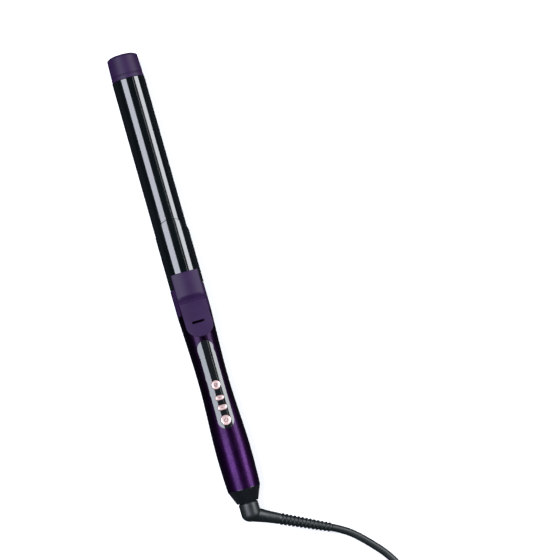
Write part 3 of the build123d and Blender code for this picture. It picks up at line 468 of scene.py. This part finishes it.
def make_purple_lacquer():
    """The handle's clear-coated purple lacquer with metal flake and a fine slanting hatch, and painted light:
    near-black by the collar, brighter and more violet towards the tail.
    """
    finish, tree, shader = start_material(
        "metallic_purple_lacquer", Coat_Weight=0.06, Coat_Roughness=0.12, Coat_IOR=1.5
    )
    flake = use(tree, metal_flake, Scale=2600.0, Amount=1.0)
    hatch = use(tree, diagonal_hatch, Pitch=0.0011, Radius=0.012)
    marks = use(tree, handling_marks, Scale=60.0, Amount=0.12)
    place = add(tree, "ShaderNodeTexCoord").outputs["Object"]
    y = add(tree, "ShaderNodeSeparateXYZ", {"Vector": place}).outputs["Y"]
    # painted light: the lacquer's colour runs from near-black at the front to a brighter violet towards the
    # tail, standing in for how the light falls along the handle
    rear = spread(tree, y, HANDLE_Y - 0.06, CAP_Y + 0.02, 0.0, 1.0)
    painted_light_tone = add(tree, "ShaderNodeMix", {0: rear}, data_type="RGBA")
    painted_light_tone.inputs[6].default_value = (0.006, 0.0012, 0.0095, 1)
    painted_light_tone.inputs[7].default_value = (0.0145, 0.0022, 0.025, 1)
    line = math_node(tree, "MULTIPLY_ADD", hatch["Line"], 0.6, 0.7)
    glint = math_node(tree, "MULTIPLY_ADD", flake["Flake"], 1.6, line)
    colour = add(tree, "ShaderNodeHueSaturation", {"Color": painted_light_tone.outputs[2], "Value": glint})
    tree.links.new(colour.outputs["Color"], shader.inputs["Base Color"])
    metal = spread(tree, flake["Height"], 0.0, 1.0, 0.9, 1.0)
    tree.links.new(metal, shader.inputs["Metallic"])
    rough = math_node(tree, "ADD", spread(tree, flake["Height"], 0.0, 1.0, 0.26, 0.4), marks["Mask"])
    tree.links.new(rough, shader.inputs["Roughness"])
    height = math_node(tree, "MULTIPLY_ADD", hatch["Line"], 0.6, flake["Height"])
    bump = add(tree, "ShaderNodeBump", {"Height": height, "Distance": 0.00001, "Strength": 0.35})
    tree.links.new(bump.outputs["Normal"], shader.inputs["Normal"])
    return finish


def make_rose_gold():
    """Plated buttons, brushed in rings so fine that they only soften the shine."""
    finish, tree, shader = start_material("rose_gold_plate", Metallic=0.55)
    grain = use(tree, moulding_grain, Scale=2600.0, Contrast=0.15, Smoothest=0.26, Roughest=0.4)
    tree.links.new(shaded(tree, (0.78, 0.55, 0.52), grain["Shade"]), shader.inputs["Base Color"])
    tree.links.new(grain["Roughness"], shader.inputs["Roughness"])
    bump = add(tree, "ShaderNodeBump", {"Height": grain["Height"], "Distance": 0.000006, "Strength": 0.4})
    tree.links.new(bump.outputs["Normal"], shader.inputs["Normal"])
    return finish


def make_webbing():
    """Woven strap with a rib across it."""
    finish, tree, shader = start_material("black_webbing", Roughness=0.85)
    place = add(tree, "ShaderNodeTexCoord").outputs["Object"]
    wave = add(tree, "ShaderNodeTexWave", {"Vector": place, "Scale": 420.0, "Distortion": 1.2, "Detail": 2.0})
    shade = spread(tree, wave.outputs["Fac"], 0.0, 1.0, 0.5, 1.5)
    tree.links.new(shaded(tree, (0.018, 0.018, 0.02), shade), shader.inputs["Base Color"])
    bump = add(tree, "ShaderNodeBump", {"Height": wave.outputs["Fac"], "Distance": 0.0001, "Strength": 0.6})
    tree.links.new(bump.outputs["Normal"], shader.inputs["Normal"])
    return finish


steel_look = dict(Metallic=1.0)
finishes = {
    "satin_purple_plastic": moulded(
        "satin_purple_plastic", (0.0205, 0.0075, 0.037), 0.46, 0.58, depth=0.00007, contrast=0.3,
        Specular_IOR_Level=0.19,
    ),
    "black_ceramic_coat": make_ceramic_coat(),
    "metallic_purple_plastic": make_purple_lacquer(),
    "gloss_black_plastic": moulded(
        "gloss_black_plastic", (0.006, 0.007, 0.008), 0.05, 0.09, depth=0.000004, IOR=1.55
    ),
    "rose_gold": make_rose_gold(),
    "black_rubber": moulded(
        "black_rubber", (0.006, 0.009, 0.009), 0.36, 0.52, scale=2200.0, depth=0.00006,
        contrast=0.25, Specular_IOR_Level=0.4,
    ),
    "black_strap": make_webbing(),
    "moulded_black": moulded("moulded_black", (0.012, 0.012, 0.013), 0.4, 0.55),
    "nickel": moulded("nickel", (0.72, 0.71, 0.68), 0.1, 0.2, depth=0.000005, **steel_look),
    "matte_black_plastic": moulded("matte_black_plastic", (0.014, 0.014, 0.016), 0.55, 0.7),
    "steel": moulded("steel", (0.55, 0.55, 0.56), 0.22, 0.4, depth=0.00001, **steel_look),
    "heat_proof_plastic": moulded("heat_proof_plastic", (0.05, 0.05, 0.055), 0.55, 0.75),
    "aluminium": moulded("aluminium", (0.75, 0.76, 0.77), 0.3, 0.45, **steel_look),
    "white_ceramic": moulded("white_ceramic", (0.85, 0.84, 0.8), 0.5, 0.7),
    "amber_film": moulded("amber_film", (0.45, 0.18, 0.03), 0.15, 0.3, depth=0.00001),
    "glass_bead": moulded("glass_bead", (0.35, 0.12, 0.05), 0.08, 0.15, depth=0.000005),
    "fuse_metal": moulded("fuse_metal", (0.62, 0.62, 0.6), 0.3, 0.5, **steel_look),
    "white_wire": moulded("white_wire", (0.82, 0.82, 0.8), 0.35, 0.5),
    "green_board": moulded("green_board", (0.01, 0.12, 0.05), 0.2, 0.35, scale=700.0, contrast=0.3),
    "switch_black": moulded("switch_black", (0.02, 0.02, 0.02), 0.5, 0.65),
    "capacitor_blue": moulded("capacitor_blue", (0.02, 0.1, 0.35), 0.15, 0.25),
    "contact_brass": moulded("contact_brass", (0.75, 0.55, 0.22), 0.2, 0.4, **steel_look),
}
button_ink = moulded("button_ink", (0.05, 0.03, 0.035), 0.4, 0.55)

for node in nodes.values():
    for holder in node.material_slots:
        if holder.material and holder.material.name.split(".")[0] in finishes:
            holder.material = finishes[holder.material.name.split(".")[0]]


def place_piece(piece, body, slot, *replaced):
    """Gives a piece its finish, the body it moves with and the CAD pieces that it stands for."""
    piece.data.materials.clear()
    piece.data.materials.append(finishes[slot])
    if body:
        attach(piece, body)
    if replaced:
        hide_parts(*replaced)
    return piece


# ================= barrel, tip and clip =================
def make_tip_cap():
    top = BARREL_RADIUS - 0.8 * MM
    base = BARREL_RADIUS - 0.3 * MM
    groove = BARREL_Y + 3.5 * MM
    outline = [
        (0, TIP_Y),
        (top - 2.2 * MM, TIP_Y - 0.25 * MM),
        (top, TIP_Y - 1.6 * MM),
        (base - 0.1 * MM, groove + 0.5 * MM),
        (base - 0.6 * MM, groove + 0.3 * MM),
        (base - 0.6 * MM, groove - 0.3 * MM),
        (base, groove - 0.5 * MM),
        (base, BARREL_Y + 0.02 * MM),
        (base - 2.6 * MM, BARREL_Y + 0.02 * MM),
        (base - 2.6 * MM, TIP_Y - 4 * MM),
        (0, TIP_Y - 4 * MM),
    ]
    return turned("tip_cap_shell", eased(outline, 1.1 * MM, 7))


def make_barrel():
    wall = 0.9 * MM
    outline = [
        (BARREL_RADIUS, BARREL_Y),
        (BARREL_RADIUS, COLLAR_Y),
        (BARREL_RADIUS - wall, COLLAR_Y),
        (BARREL_RADIUS - wall, BARREL_Y),
    ]
    return turned("coated_barrel", eased(outline, 0.35 * MM), 160)


def clip_section(columns):
    """The clip's outer line round the barrel as (x, height, slope)."""
    wrap = math.radians(78)
    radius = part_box("clip_shell")[1].z - AXIS_Z
    slopes = [wrap * (2 * i / columns - 1) for i in range(columns + 1)]
    return [(radius * math.sin(slope), radius * math.cos(slope), slope) for slope in slopes]


def make_clip():
    """The sprung sheet: a part-round grid whose front corners follow a rounded plan."""
    low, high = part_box("clip_shell")
    sheet = 0.6 * MM
    roll = 0.8 * MM
    columns, rows = 96, 26
    section = clip_section(columns)
    half = high.z - AXIS_Z
    corner = half - 0.3 * MM
    bm = bmesh.new()
    skins = []
    for depth in (0, sheet):
        grid = []
        for x, z, slope in section:
            over = max(abs(x) - (half - corner), 0)
            front = high.y - (corner - math.sqrt(max(corner**2 - over**2, 0)))
            column = []
            for j in range(rows + 1):
                back = min(j, 6) * roll / 6
                if j > 6:
                    back += (front - roll - low.y) * (j - 6) / (rows - 6)
                inset = depth
                if depth == 0:
                    inset = 0.9 * sheet * (1 - math.sqrt(1 - max(1 - back / roll, 0) ** 2))
                place = (x - inset * math.sin(slope), front - back, AXIS_Z + z - inset * math.cos(slope))
                column.append(bm.verts.new(place))
            grid.append(column)
        skins.append(grid)
    top, under = skins
    for i in range(columns):
        for j in range(rows):
            bm.faces.new((top[i][j], top[i + 1][j], top[i + 1][j + 1], top[i][j + 1]))
            bm.faces.new((under[i][j + 1], under[i + 1][j + 1], under[i + 1][j], under[i][j]))
        for j in (0, rows):
            bm.faces.new((top[i][j], top[i + 1][j], under[i + 1][j], under[i][j]))
    for i in (0, columns):
        for j in range(rows):
            bm.faces.new((top[i][j], top[i][j + 1], under[i][j + 1], under[i][j]))
    piece = link("sprung_clip", mesh_from("sprung_clip", bm))
    piece.data.set_sharp_from_angle(angle=math.radians(50))
    return piece


def smooth_step(value, start, end):
    t = min(max((value - start) / (end - start), 0), 1)
    return t * t * (3 - 2 * t)


# the underside's height over the barrel's axis, at distances back from the lever's front
LEVER_UNDERSIDE = [
    (17.4, 13.1), (19.0, 12.45), (20.5, 10.9), (22.0, 10.76), (24.0, 11.48), (28.0, 12.9), (52.0, 20.65)
]
# the lever's own sizes; heights are over the barrel's axis and distances are back from its front
SADDLE_TOP = 15.05 * MM
SADDLE_INSIDE = 13.36 * MM
SADDLE_END = 17.4 * MM
FLAT_FROM = 20.5 * MM
VALLEY_BACK = 21.1 * MM
VALLEY_HEIGHT = 12.45 * MM
VALLEY_ROUND = 0.15 * MM
VALLEY_SLOPE = 0.78
PAD_START = 24.5
PAD_START_HEIGHT = 14.15
PAD_SLOPE = 0.307
PAD_END_ROUND = 8.5 * MM
LEVER_HALF_WIDTH = 10.3 * MM
FRONT_ROLL = 0.6 * MM
FRONT_ROLL_DEPTH = 0.5 * MM
TAIL_THIN = 0.7 * MM


def underside_height(back):
    places = LEVER_UNDERSIDE
    for (a, low), (b, high) in zip(places, places[1:]):
        if back <= b * MM:
            share = max((back / MM - a) / (b - a), 0)
            return (low + (high - low) * share) * MM
    return places[-1][1] * MM


def lever_section(back, length):
    """Half width, top and underside heights, and share of flatness, at a distance from the front."""
    pad_top = (PAD_START_HEIGHT + PAD_SLOPE * (back / MM - PAD_START)) * MM
    uncut = SADDLE_TOP if back < VALLEY_BACK else max(pad_top, 0)
    # a crease with a small round at its bottom
    cut = VALLEY_HEIGHT + VALLEY_SLOPE * (math.hypot(back - VALLEY_BACK, VALLEY_ROUND) - VALLEY_ROUND)
    top = min(uncut, cut)
    blend = smooth_step(back, SADDLE_END, FLAT_FROM)
    under = underside_height(back)
    # the edge at the front is rolled over
    front = max(1 - back / FRONT_ROLL, 0)
    top -= FRONT_ROLL_DEPTH * (1 - math.sqrt(1 - front**2))
    past = max((back - (length - PAD_END_ROUND)) / PAD_END_ROUND, 0)
    half = LEVER_HALF_WIDTH * math.sqrt(max(1 - past**2, 0.0004))
    thin = max((back - (length - TAIL_THIN)) / TAIL_THIN, 0)
    middle = (top + under) / 2
    keep = math.sqrt(max(1 - thin**2, 0.02))
    if back > PAD_START * MM:
        top, under = middle + (top - middle) * keep, middle + (under - middle) * keep
    return half, top, under, blend


def lever_loop(half, top, under, blend):
    """One closed cross-section: crowned top, rounded edges, straight sides; hollow under the saddle."""
    edge = min(0.7 * MM, half * 0.6)
    if blend == 1:
        edge = min(edge, (top - under) * 0.45)
    crown = (40 + 42 * blend) * MM

    def top_at(x):
        return top - x * x / crown

    def under_at(x):
        hollow = math.sqrt(SADDLE_INSIDE**2 - x * x)
        return hollow + (under - hollow) * blend

    count, turn = 40, 6
    points = []
    for i in range(count + 1):
        x = -(half - edge) + 2 * (half - edge) * i / count
        points.append((x, top_at(x)))
    for side in (1, -1):
        arc_points = []
        for k in range(1, turn + 1):
            a = math.pi / 2 * k / turn
            x = half - edge + edge * math.sin(a)
            arc_points.append((side * x, top_at(half - edge) - edge * (1 - math.cos(a))))
        low_edge = min(0.35 * MM, half * 0.3, edge / 2)
        floor = under_at(half - low_edge)
        wall_top = arc_points[-1][1]
        for k in range(1, 4):
            share = k / 4
            arc_points.append((side * half, wall_top + (floor + low_edge - wall_top) * share))
        for k in range(turn + 1):
            a = math.pi / 2 * k / turn
            x = half - low_edge * (1 - math.cos(a))
            arc_points.append((side * x, floor + low_edge * (1 - math.sin(a))))
        if side == 1:
            points += arc_points
            for i in range(1, count):
                x = (half - low_edge) * (1 - 2 * i / count)
                points.append((x, under_at(x)))
        else:
            points += list(reversed(arc_points))
    return points


def make_lever():
    """The thumb lever: a saddle over the clip, a valley over the hinge and a crowned pad."""
    low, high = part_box("clip_lever")
    length = high.y - low.y
    stations = [0, 0.1, 0.25, 0.45, 0.7]
    stations += [1.2 + 0.6 * k for k in range(80) if 1.2 + 0.6 * k < length / MM - 9]
    tail = length / MM - 8.5
    stations += [tail + 8.5 * math.sin(math.pi / 2 * k / 22) for k in range(22)]
    stations += [length / MM - 0.02]
    stations = sorted(set(round(s, 4) for s in stations))
    bm = bmesh.new()
    loops = []
    for s in stations:
        points = lever_loop(*lever_section(s * MM, length))
        loops.append([bm.verts.new((x, high.y - s * MM, AXIS_Z + z)) for x, z in points])
    for a, b in zip(loops, loops[1:]):
        for k in range(len(a)):
            n = (k + 1) % len(a)
            bm.faces.new((a[k], a[n], b[n], b[k]))
    bm.faces.new(loops[0])
    bm.faces.new(loops[-1])
    for x in (-9.5, 9.5):
        add_ear(bm, x * MM, high.y - 22.5 * MM)
    piece = link("thumb_lever", mesh_from("thumb_lever", bm))
    slot_centre = Vector((0, low.y + 11.4 * MM, 0))
    cutter = stacked(
        "slot_cutter", slot_centre, 5.1 * MM, 0.95 * MM, [(0, AXIS_Z + 12 * MM), (0, AXIS_Z + 30 * MM)]
    )
    cut = piece.modifiers.new("slot", "BOOLEAN")
    cut.object = cutter
    cut.operation = "DIFFERENCE"
    cut.solver = "EXACT"
    settled(piece)
    bpy.data.objects.remove(cutter)
    piece.data.set_sharp_from_angle(angle=math.radians(45))
    return piece


def add_ear(bm, x, y):
    """A flat ear that carries one side of the lever on the hinge pin."""
    thick, radius = 0.7 * MM, 3.2 * MM
    outline = [(radius * math.cos(a), 5 * MM + radius * math.sin(a)) for a in
               [math.radians(180 + 180 * k / 24) for k in range(25)]]
    outline += [(radius, 9.8 * MM), (-radius, 9.8 * MM)]
    faces = [[bm.verts.new((x + t, y + u, AXIS_Z + z)) for u, z in outline] for t in (-thick, thick)]
    for face in faces:
        bm.faces.new(face)
    for k in range(len(outline)):
        n = (k + 1) % len(outline)
        bm.faces.new((faces[0][k], faces[0][n], faces[1][n], faces[1][k]))


tip_cap = place_piece(make_tip_cap(), "root", "satin_purple_plastic", "tip_cap")
barrel = place_piece(make_barrel(), "root", "black_ceramic_coat", "barrel")
clip = place_piece(make_clip(), "clip", "black_ceramic_coat", "clip_shell")
lever = place_piece(make_lever(), "clip", "satin_purple_plastic", "clip_lever")
collar = place_piece(
    softened("collar_moulding", "collar", 0.3 * MM), "root", "satin_purple_plastic", "collar"
)
panel = place_piece(
    softened("gloss_panel", "control_panel", 0.55 * MM), "root", "gloss_black_plastic", "control_panel"
)


# ================= buttons =================
def make_button(node):
    """A plated button with a rounded rim and a shallow dish in its top."""
    low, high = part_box(node)
    flange = 0.6 * MM
    half_x = (high.x - low.x) / 2 - flange
    half_y = (high.y - low.y) / 2 - flange
    centre = (low + high) / 2
    top = high.z
    rim = 0.9 * MM
    levels = [
        (-flange, low.z),
        (-flange, low.z + 0.6 * MM),
        (0, low.z + 0.6 * MM),
        (0, top - 0.7 * MM),
        (0.02 * MM, top - 0.45 * MM),
        (0.12 * MM, top - 0.2 * MM),
        (0.3 * MM, top - 0.05 * MM),
        (0.55 * MM, top),
        (rim * 0.8, top - 0.04 * MM),
        (rim, top - 0.12 * MM),
        (rim + 0.15 * MM, top - 0.2 * MM),
        (rim + 0.4 * MM, top - 0.22 * MM),
    ]
    piece = stacked(node.replace("_button", "_key"), centre, half_x, half_y, levels)
    return place_piece(piece, node, "rose_gold", node)


def ribbon(bm, points, width, z):
    """A thin raised strip along flat points, as printed marks have."""
    half, rise = width / 2, 0.03 * MM
    sides = []
    for i, (x, y) in enumerate(points):
        ax, ay = points[max(i - 1, 0)]
        bx, by = points[min(i + 1, len(points) - 1)]
        along = Vector((bx - ax, by - ay)).normalized()
        out = Vector((-along.y, along.x)) * half
        corners = ((1, 0), (-1, 0), (-1, rise), (1, rise))
        sides.append([bm.verts.new((x + k * out.x, y + k * out.y, z + h)) for k, h in corners])
    for a, b in zip(sides, sides[1:]):
        for k in range(4):
            bm.faces.new((a[k], a[(k + 1) % 4], b[(k + 1) % 4], b[k]))
    bm.faces.new(sides[0])
    bm.faces.new(sides[-1])


def arc(centre, radius, start, end, count=24):
    angles = [math.radians(start + (end - start) * i / count) for i in range(count + 1)]
    return [(centre.x + radius * math.cos(a), centre.y + radius * math.sin(a)) for a in angles]


def make_mark(node, strokes, width):
    """Plain dark marks in a button's dish."""
    low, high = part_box(node)
    bm = bmesh.new()
    for stroke in strokes((low + high) / 2):
        ribbon(bm, stroke, width, high.z - 0.22 * MM)
    piece = link(node.replace("_button", "_mark"), mesh_from("mark", bm), smooth=False)
    piece.data.materials.append(button_ink)
    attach(piece, node)
    return piece


def bar(centre, x0, y0, x1, y1):
    return [(centre.x + x0 * MM, centre.y + y0 * MM), (centre.x + x1 * MM, centre.y + y1 * MM)]


for name in ("mode_button", "plus_button", "minus_button", "power_button"):
    make_button(name)
make_mark(
    "power_button",
    lambda c: [arc(c, 1.35 * MM, 125, 415), bar(c, 0, 0.4, 0, 1.9)],
    0.42 * MM,
)
make_mark(
    "mode_button",
    lambda c: [arc(c, 1.25 * MM, 0, 300), arc(c, 0.5 * MM, 180, 480, 16)],
    0.4 * MM,
)
make_mark("plus_button", lambda c: [bar(c, -0.75, 0, 0.75, 0), bar(c, 0, -0.75, 0, 0.75)], 0.34 * MM)
make_mark("minus_button", lambda c: [bar(c, -0.8, 0, 0.8, 0)], 0.36 * MM)


# ================= end cap and boot =================
def make_end_cap():
    rear = 12.45 * MM
    tail = 8.15 * MM
    outline = [
        (rear, CAP_Y - 0.02 * MM),
        (tail, TAIL_Y),
        (5.1 * MM, TAIL_Y),
        (5.1 * MM, CAP_Y - 0.02 * MM),
    ]
    return turned("tail_cone", eased(outline, 0.5 * MM), 128)


def make_boot():
    """The soft elbow: a round collar, a domed bend and a tapering neck run into one skin."""
    collar_radius = 7.4 * MM
    start_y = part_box("swivel_boot")[1].y
    bm = bmesh.new()
    profile = [(0, start_y), (collar_radius - 0.5 * MM, start_y), (collar_radius, start_y - 0.6 * MM)]
    profile += [(collar_radius, ELBOW.y)]
    for k in range(1, 13):
        angle = math.pi / 2 * k / 12
        profile.append((collar_radius * math.cos(angle), ELBOW.y - 0.8 * collar_radius * math.sin(angle)))
    spin_profile(bm, profile, Matrix.Translation(AXIS) @ Matrix.Rotation(math.radians(90), 4, "X"), flip=True)
    neck = [
        (0, 0), (5.9, 0), (5.2, 6), (4.6, 12), (4.25, 18), (4.2, 21.5),
        (3.65, 23.5), (3.3, 42), (2.95, 62.6), (2.6, 63.2), (0, 63.2),
    ]
    turn = Vector((0, 0, 1)).rotation_difference(BOOT_WAY).to_matrix().to_4x4()
    spin_profile(bm, [(r * MM, d * MM) for r, d in neck], Matrix.Translation(ELBOW) @ turn)
    piece = link("cord_boot", mesh_from("cord_boot", bm))
    skin = piece.modifiers.new("one_skin", "REMESH")
    skin.mode = "VOXEL"
    skin.voxel_size = 0.35 * MM
    flow = piece.modifiers.new("flow", "SMOOTH")
    flow.factor = 0.5
    flow.iterations = 14
    settled(piece)
    for face in piece.data.polygons:
        face.use_smooth = True
    return piece


def spin_profile(bm, profile, placing, segments=64, flip=False):
    """Turns (radius, height) points into a closed round form and places it."""
    rings = []
    for r, h in profile:
        h = -h if flip else h
        if r < 1e-9:
            rings.append([bm.verts.new(placing @ Vector((0, 0, h)))])
            continue
        angles = [2 * math.pi * k / segments for k in range(segments)]
        rings.append([bm.verts.new(placing @ Vector((r * math.cos(a), r * math.sin(a), h))) for a in angles])
    for first, second in zip(rings, rings[1:]):
        join_rings(bm, first, second, segments)


def make_rib_tree():
    """Geometry nodes that set rings along a line, each turned to it and smaller than the last."""
    tree = bpy.data.node_groups.new("cord_ribs", "GeometryNodeTree")
    sockets = (
        ("Count", "NodeSocketInt"), ("Start", "NodeSocketVector"), ("Step", "NodeSocketVector"),
        ("Radius", "NodeSocketFloat"), ("Width", "NodeSocketFloat"), ("Height", "NodeSocketFloat"),
        ("End Share", "NodeSocketFloat"), ("Finish", "NodeSocketMaterial"),
    )
    for label, kind in sockets:
        tree.interface.new_socket(label, in_out="INPUT", socket_type=kind)
    tree.interface.new_socket("Ribs", in_out="OUTPUT", socket_type="NodeSocketGeometry")
    given = tree.nodes.new("NodeGroupInput").outputs
    end = tree.nodes.new("NodeGroupOutput")
    row = {"Count": given["Count"], "Start Location": given["Start"], "Offset": given["Step"]}
    line = add(tree, "GeometryNodeMeshLine", row)
    hoop = add(tree, "GeometryNodeCurvePrimitiveCircle", {"Resolution": 48, "Radius": given["Radius"]})
    section = add(
        tree, "GeometryNodeCurvePrimitiveQuadrilateral", {"Width": given["Height"], "Height": given["Width"]}
    )
    easing = math_node(tree, "MULTIPLY", given["Height"], 0.42)
    corners = {"Curve": section.outputs["Curve"], "Radius": easing, "Count": 3}
    eased_section = add(tree, "GeometryNodeFilletCurve", corners, mode="POLY")
    ring = add(
        tree, "GeometryNodeCurveToMesh",
        {"Curve": hoop.outputs["Curve"], "Profile Curve": eased_section.outputs["Curve"]},
    )
    facing = add(tree, "FunctionNodeAlignRotationToVector", {"Vector": given["Step"]}, axis="Z")
    place_number = add(tree, "GeometryNodeInputIndex").outputs[0]
    last = math_node(tree, "SUBTRACT", given["Count"], 1.0)
    share = math_node(tree, "DIVIDE", place_number, last)
    shrink = math_node(tree, "SUBTRACT", given["End Share"], 1.0)
    size = math_node(tree, "MULTIPLY_ADD", share, shrink, 1.0)
    rows = add(
        tree, "GeometryNodeInstanceOnPoints",
        {
            "Points": line.outputs["Mesh"], "Instance": ring.outputs["Mesh"],
            "Rotation": facing.outputs["Rotation"], "Scale": size,
        },
    )
    real = add(tree, "GeometryNodeRealizeInstances", {"Geometry": rows.outputs["Instances"]})
    finish = {"Geometry": real.outputs["Geometry"], "Material": given["Finish"]}
    coloured = add(tree, "GeometryNodeSetMaterial", finish)
    tree.links.new(coloured.outputs["Geometry"], end.inputs["Ribs"])
    return tree


def make_ribs(name, values):
    """A plain mesh of the ribs that the tree gives for these sizes."""
    mesh = bpy.data.meshes.new(name)
    piece = link(name, mesh)
    modifier = piece.modifiers.new("ribs", "NODES")
    modifier.node_group = rib_tree
    for socket in rib_tree.interface.items_tree:
        if socket.in_out == "INPUT":
            modifier[socket.identifier] = values[socket.name]
    settled(piece)
    bm = bmesh.new()
    bm.from_mesh(piece.data)
    bmesh.ops.recalc_face_normals(bm, faces=bm.faces)
    bm.to_mesh(piece.data)
    bm.free()
    for face in piece.data.polygons:
        face.use_smooth = True
    return piece


rib_tree = make_rib_tree()
end_cap = place_piece(make_end_cap(), "root", "gloss_black_plastic", "end_cap")
boot = place_piece(make_boot(), "swivel", "black_rubber", "swivel_boot")
boot_ribs = make_ribs(
    "boot_ribs",
    {
        "Count": 13,
        "Start": tuple(ELBOW + BOOT_WAY * 24.2 * MM),
        "Step": tuple(BOOT_WAY * 3.08 * MM),
        "Radius": 3.75 * MM,
        "Width": 1.75 * MM,
        "Height": 1.3 * MM,
        "End Share": 0.8,
        "Finish": finishes["black_rubber"],
    },
)
place_piece(boot_ribs, "swivel", "black_rubber")


# ================= plug =================
def make_plug():
    """A flat two-pin plug moulded onto the cord, waisted where the fingers hold it."""
    low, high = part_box("plug_body")
    middle_y = (low.y + high.y) / 2
    half = (high.y - low.y) / 2
    length = high.x - low.x
    shape = [
        (0, 4.2), (4, 4.8), (9, 8.5), (14, 13.2), (19, 15.6),
        (25, 15.4), (29, 16.6), (31.5, 17.65), (34, 16.6),
    ]
    side = [(high.x - d * MM * length / (34 * MM), w * MM * half / (17.65 * MM)) for d, w in shape]
    outline = side + [(x, -w) for x, w in reversed(side)]
    bm = bmesh.new()
    rings = []
    for z, inset in ((low.z, 0), (high.z, 0)):
        rings.append([bm.verts.new((x, middle_y + w, z)) for x, w in outline])
    for k in range(len(outline)):
        n = (k + 1) % len(outline)
        bm.faces.new((rings[0][k], rings[0][n], rings[1][n], rings[1][k]))
    for ring in rings:
        bm.faces.new(ring)
    piece = link("moulded_plug", mesh_from("moulded_plug", bm))
    rounding = piece.modifiers.new("rounded_edges", "BEVEL")
    rounding.width = 2.2 * MM
    rounding.segments = 5
    rounding.limit_method = "ANGLE"
    rounding.angle_limit = math.radians(60)
    rounding.harden_normals = True
    return settled(piece)


plug = place_piece(make_plug(), "root", "moulded_black", "plug_body")
plug_low, plug_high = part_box("plug_body")
plug_ribs = make_ribs(
    "plug_ribs",
    {
        "Count": 5,
        "Start": (plug_high.x - 3 * MM, (plug_low.y + plug_high.y) / 2, 6.85 * MM),
        "Step": (2.2 * MM, 0, 0),
        "Radius": 3.6 * MM,
        "Width": 1.3 * MM,
        "Height": 1.6 * MM,
        "End Share": 0.86,
        "Finish": finishes["moulded_black"],
    },
)
place_piece(plug_ribs, "root", "moulded_black")

place_piece(mains_cord, None, "black_rubber", "cord_tube", "cord_coil")
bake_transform(mains_cord)


# ================= floor and light =================
def make_floor():
    bm = bmesh.new()
    for x, y in ((-4, -4), (4, -4), (4, 4), (-4, 4)):
        bm.verts.new((x, y, 0))
    bm.faces.new(bm.verts)
    floor = link("floor", mesh_from("floor", bm), smooth=False)
    floor.data.materials.append(make_floor_finish())


def make_floor_finish():
    """A pale floor that throws little light back, so that glossy sides stay deep."""
    pale = moulded("pale_floor", (0.84, 0.84, 0.85), 0.7, 0.85, scale=120.0, depth=0.00001, contrast=0.02)
    tree = pale.node_tree
    shader = tree.nodes["Principled BSDF"]
    shader.inputs["Emission Color"].default_value = (1, 1, 1, 1)
    shader.inputs["Emission Strength"].default_value = 0.3
    dim = add(tree, "ShaderNodeBsdfDiffuse", {"Color": (0.03, 0.03, 0.033, 1)})
    ray = add(tree, "ShaderNodeLightPath").outputs["Is Camera Ray"]
    mixed = add(tree, "ShaderNodeMixShader", {0: ray, 1: dim.outputs[0], 2: shader.outputs[0]})
    tree.links.new(mixed.outputs[0], tree.nodes["Material Output"].inputs["Surface"])
    return pale


def strip_light(name, angle, reach, width, length, y, radiance, colour):
    """A long soft panel beside the iron, turned to face it, at an angle from straight above."""
    data = bpy.data.lights.new(name, "AREA")
    data.shape = "RECTANGLE"
    data.size = width
    data.size_y = length
    data.color = colour
    data.energy = radiance * math.pi * width * length
    lamp = bpy.data.objects.new(name, data)
    scene.collection.objects.link(lamp)
    angle = math.radians(angle)
    out = Vector((math.sin(angle), 0, math.cos(angle)))
    along = Vector((0, 1, 0))
    across = along.cross(out)
    axes = Matrix((across, along, out)).transposed().to_4x4()
    lamp.matrix_world = Matrix.Translation(AXIS + out * reach + Vector((0, y, 0))) @ axes
    lamp.visible_camera = False


def make_world():
    world = bpy.data.worlds.new("studio")
    scene.world = world
    world.use_nodes = True
    tree = world.node_tree
    tree.nodes.clear()
    seen = add(tree, "ShaderNodeBackground", {"Color": (0.93, 0.93, 0.94, 1), "Strength": 1.0})
    room = add(tree, "ShaderNodeBackground", {"Color": (0.9, 0.95, 1, 1), "Strength": 0.022})
    ray = add(tree, "ShaderNodeLightPath").outputs["Is Camera Ray"]
    mixed = add(tree, "ShaderNodeMixShader", {0: ray, 1: room.outputs[0], 2: seen.outputs[0]})
    add(tree, "ShaderNodeOutputWorld", {"Surface": mixed.outputs[0]})


make_floor()
strip_light("left_strip", -36, 1.2, 0.8, 1.1, 0.08, 10.0, (0.84, 0.88, 1.0))
strip_light("right_strip", 55, 1.2, 0.6, 1.1, 0.08, 11.0, (0.92, 0.95, 1.0))
strip_light("thin_strip", 28.5, 1.2, 0.03, 1.1, 0.08, 5.0, (1.0, 1.0, 1.0))
make_world()
scene.view_settings.view_transform = "Standard"
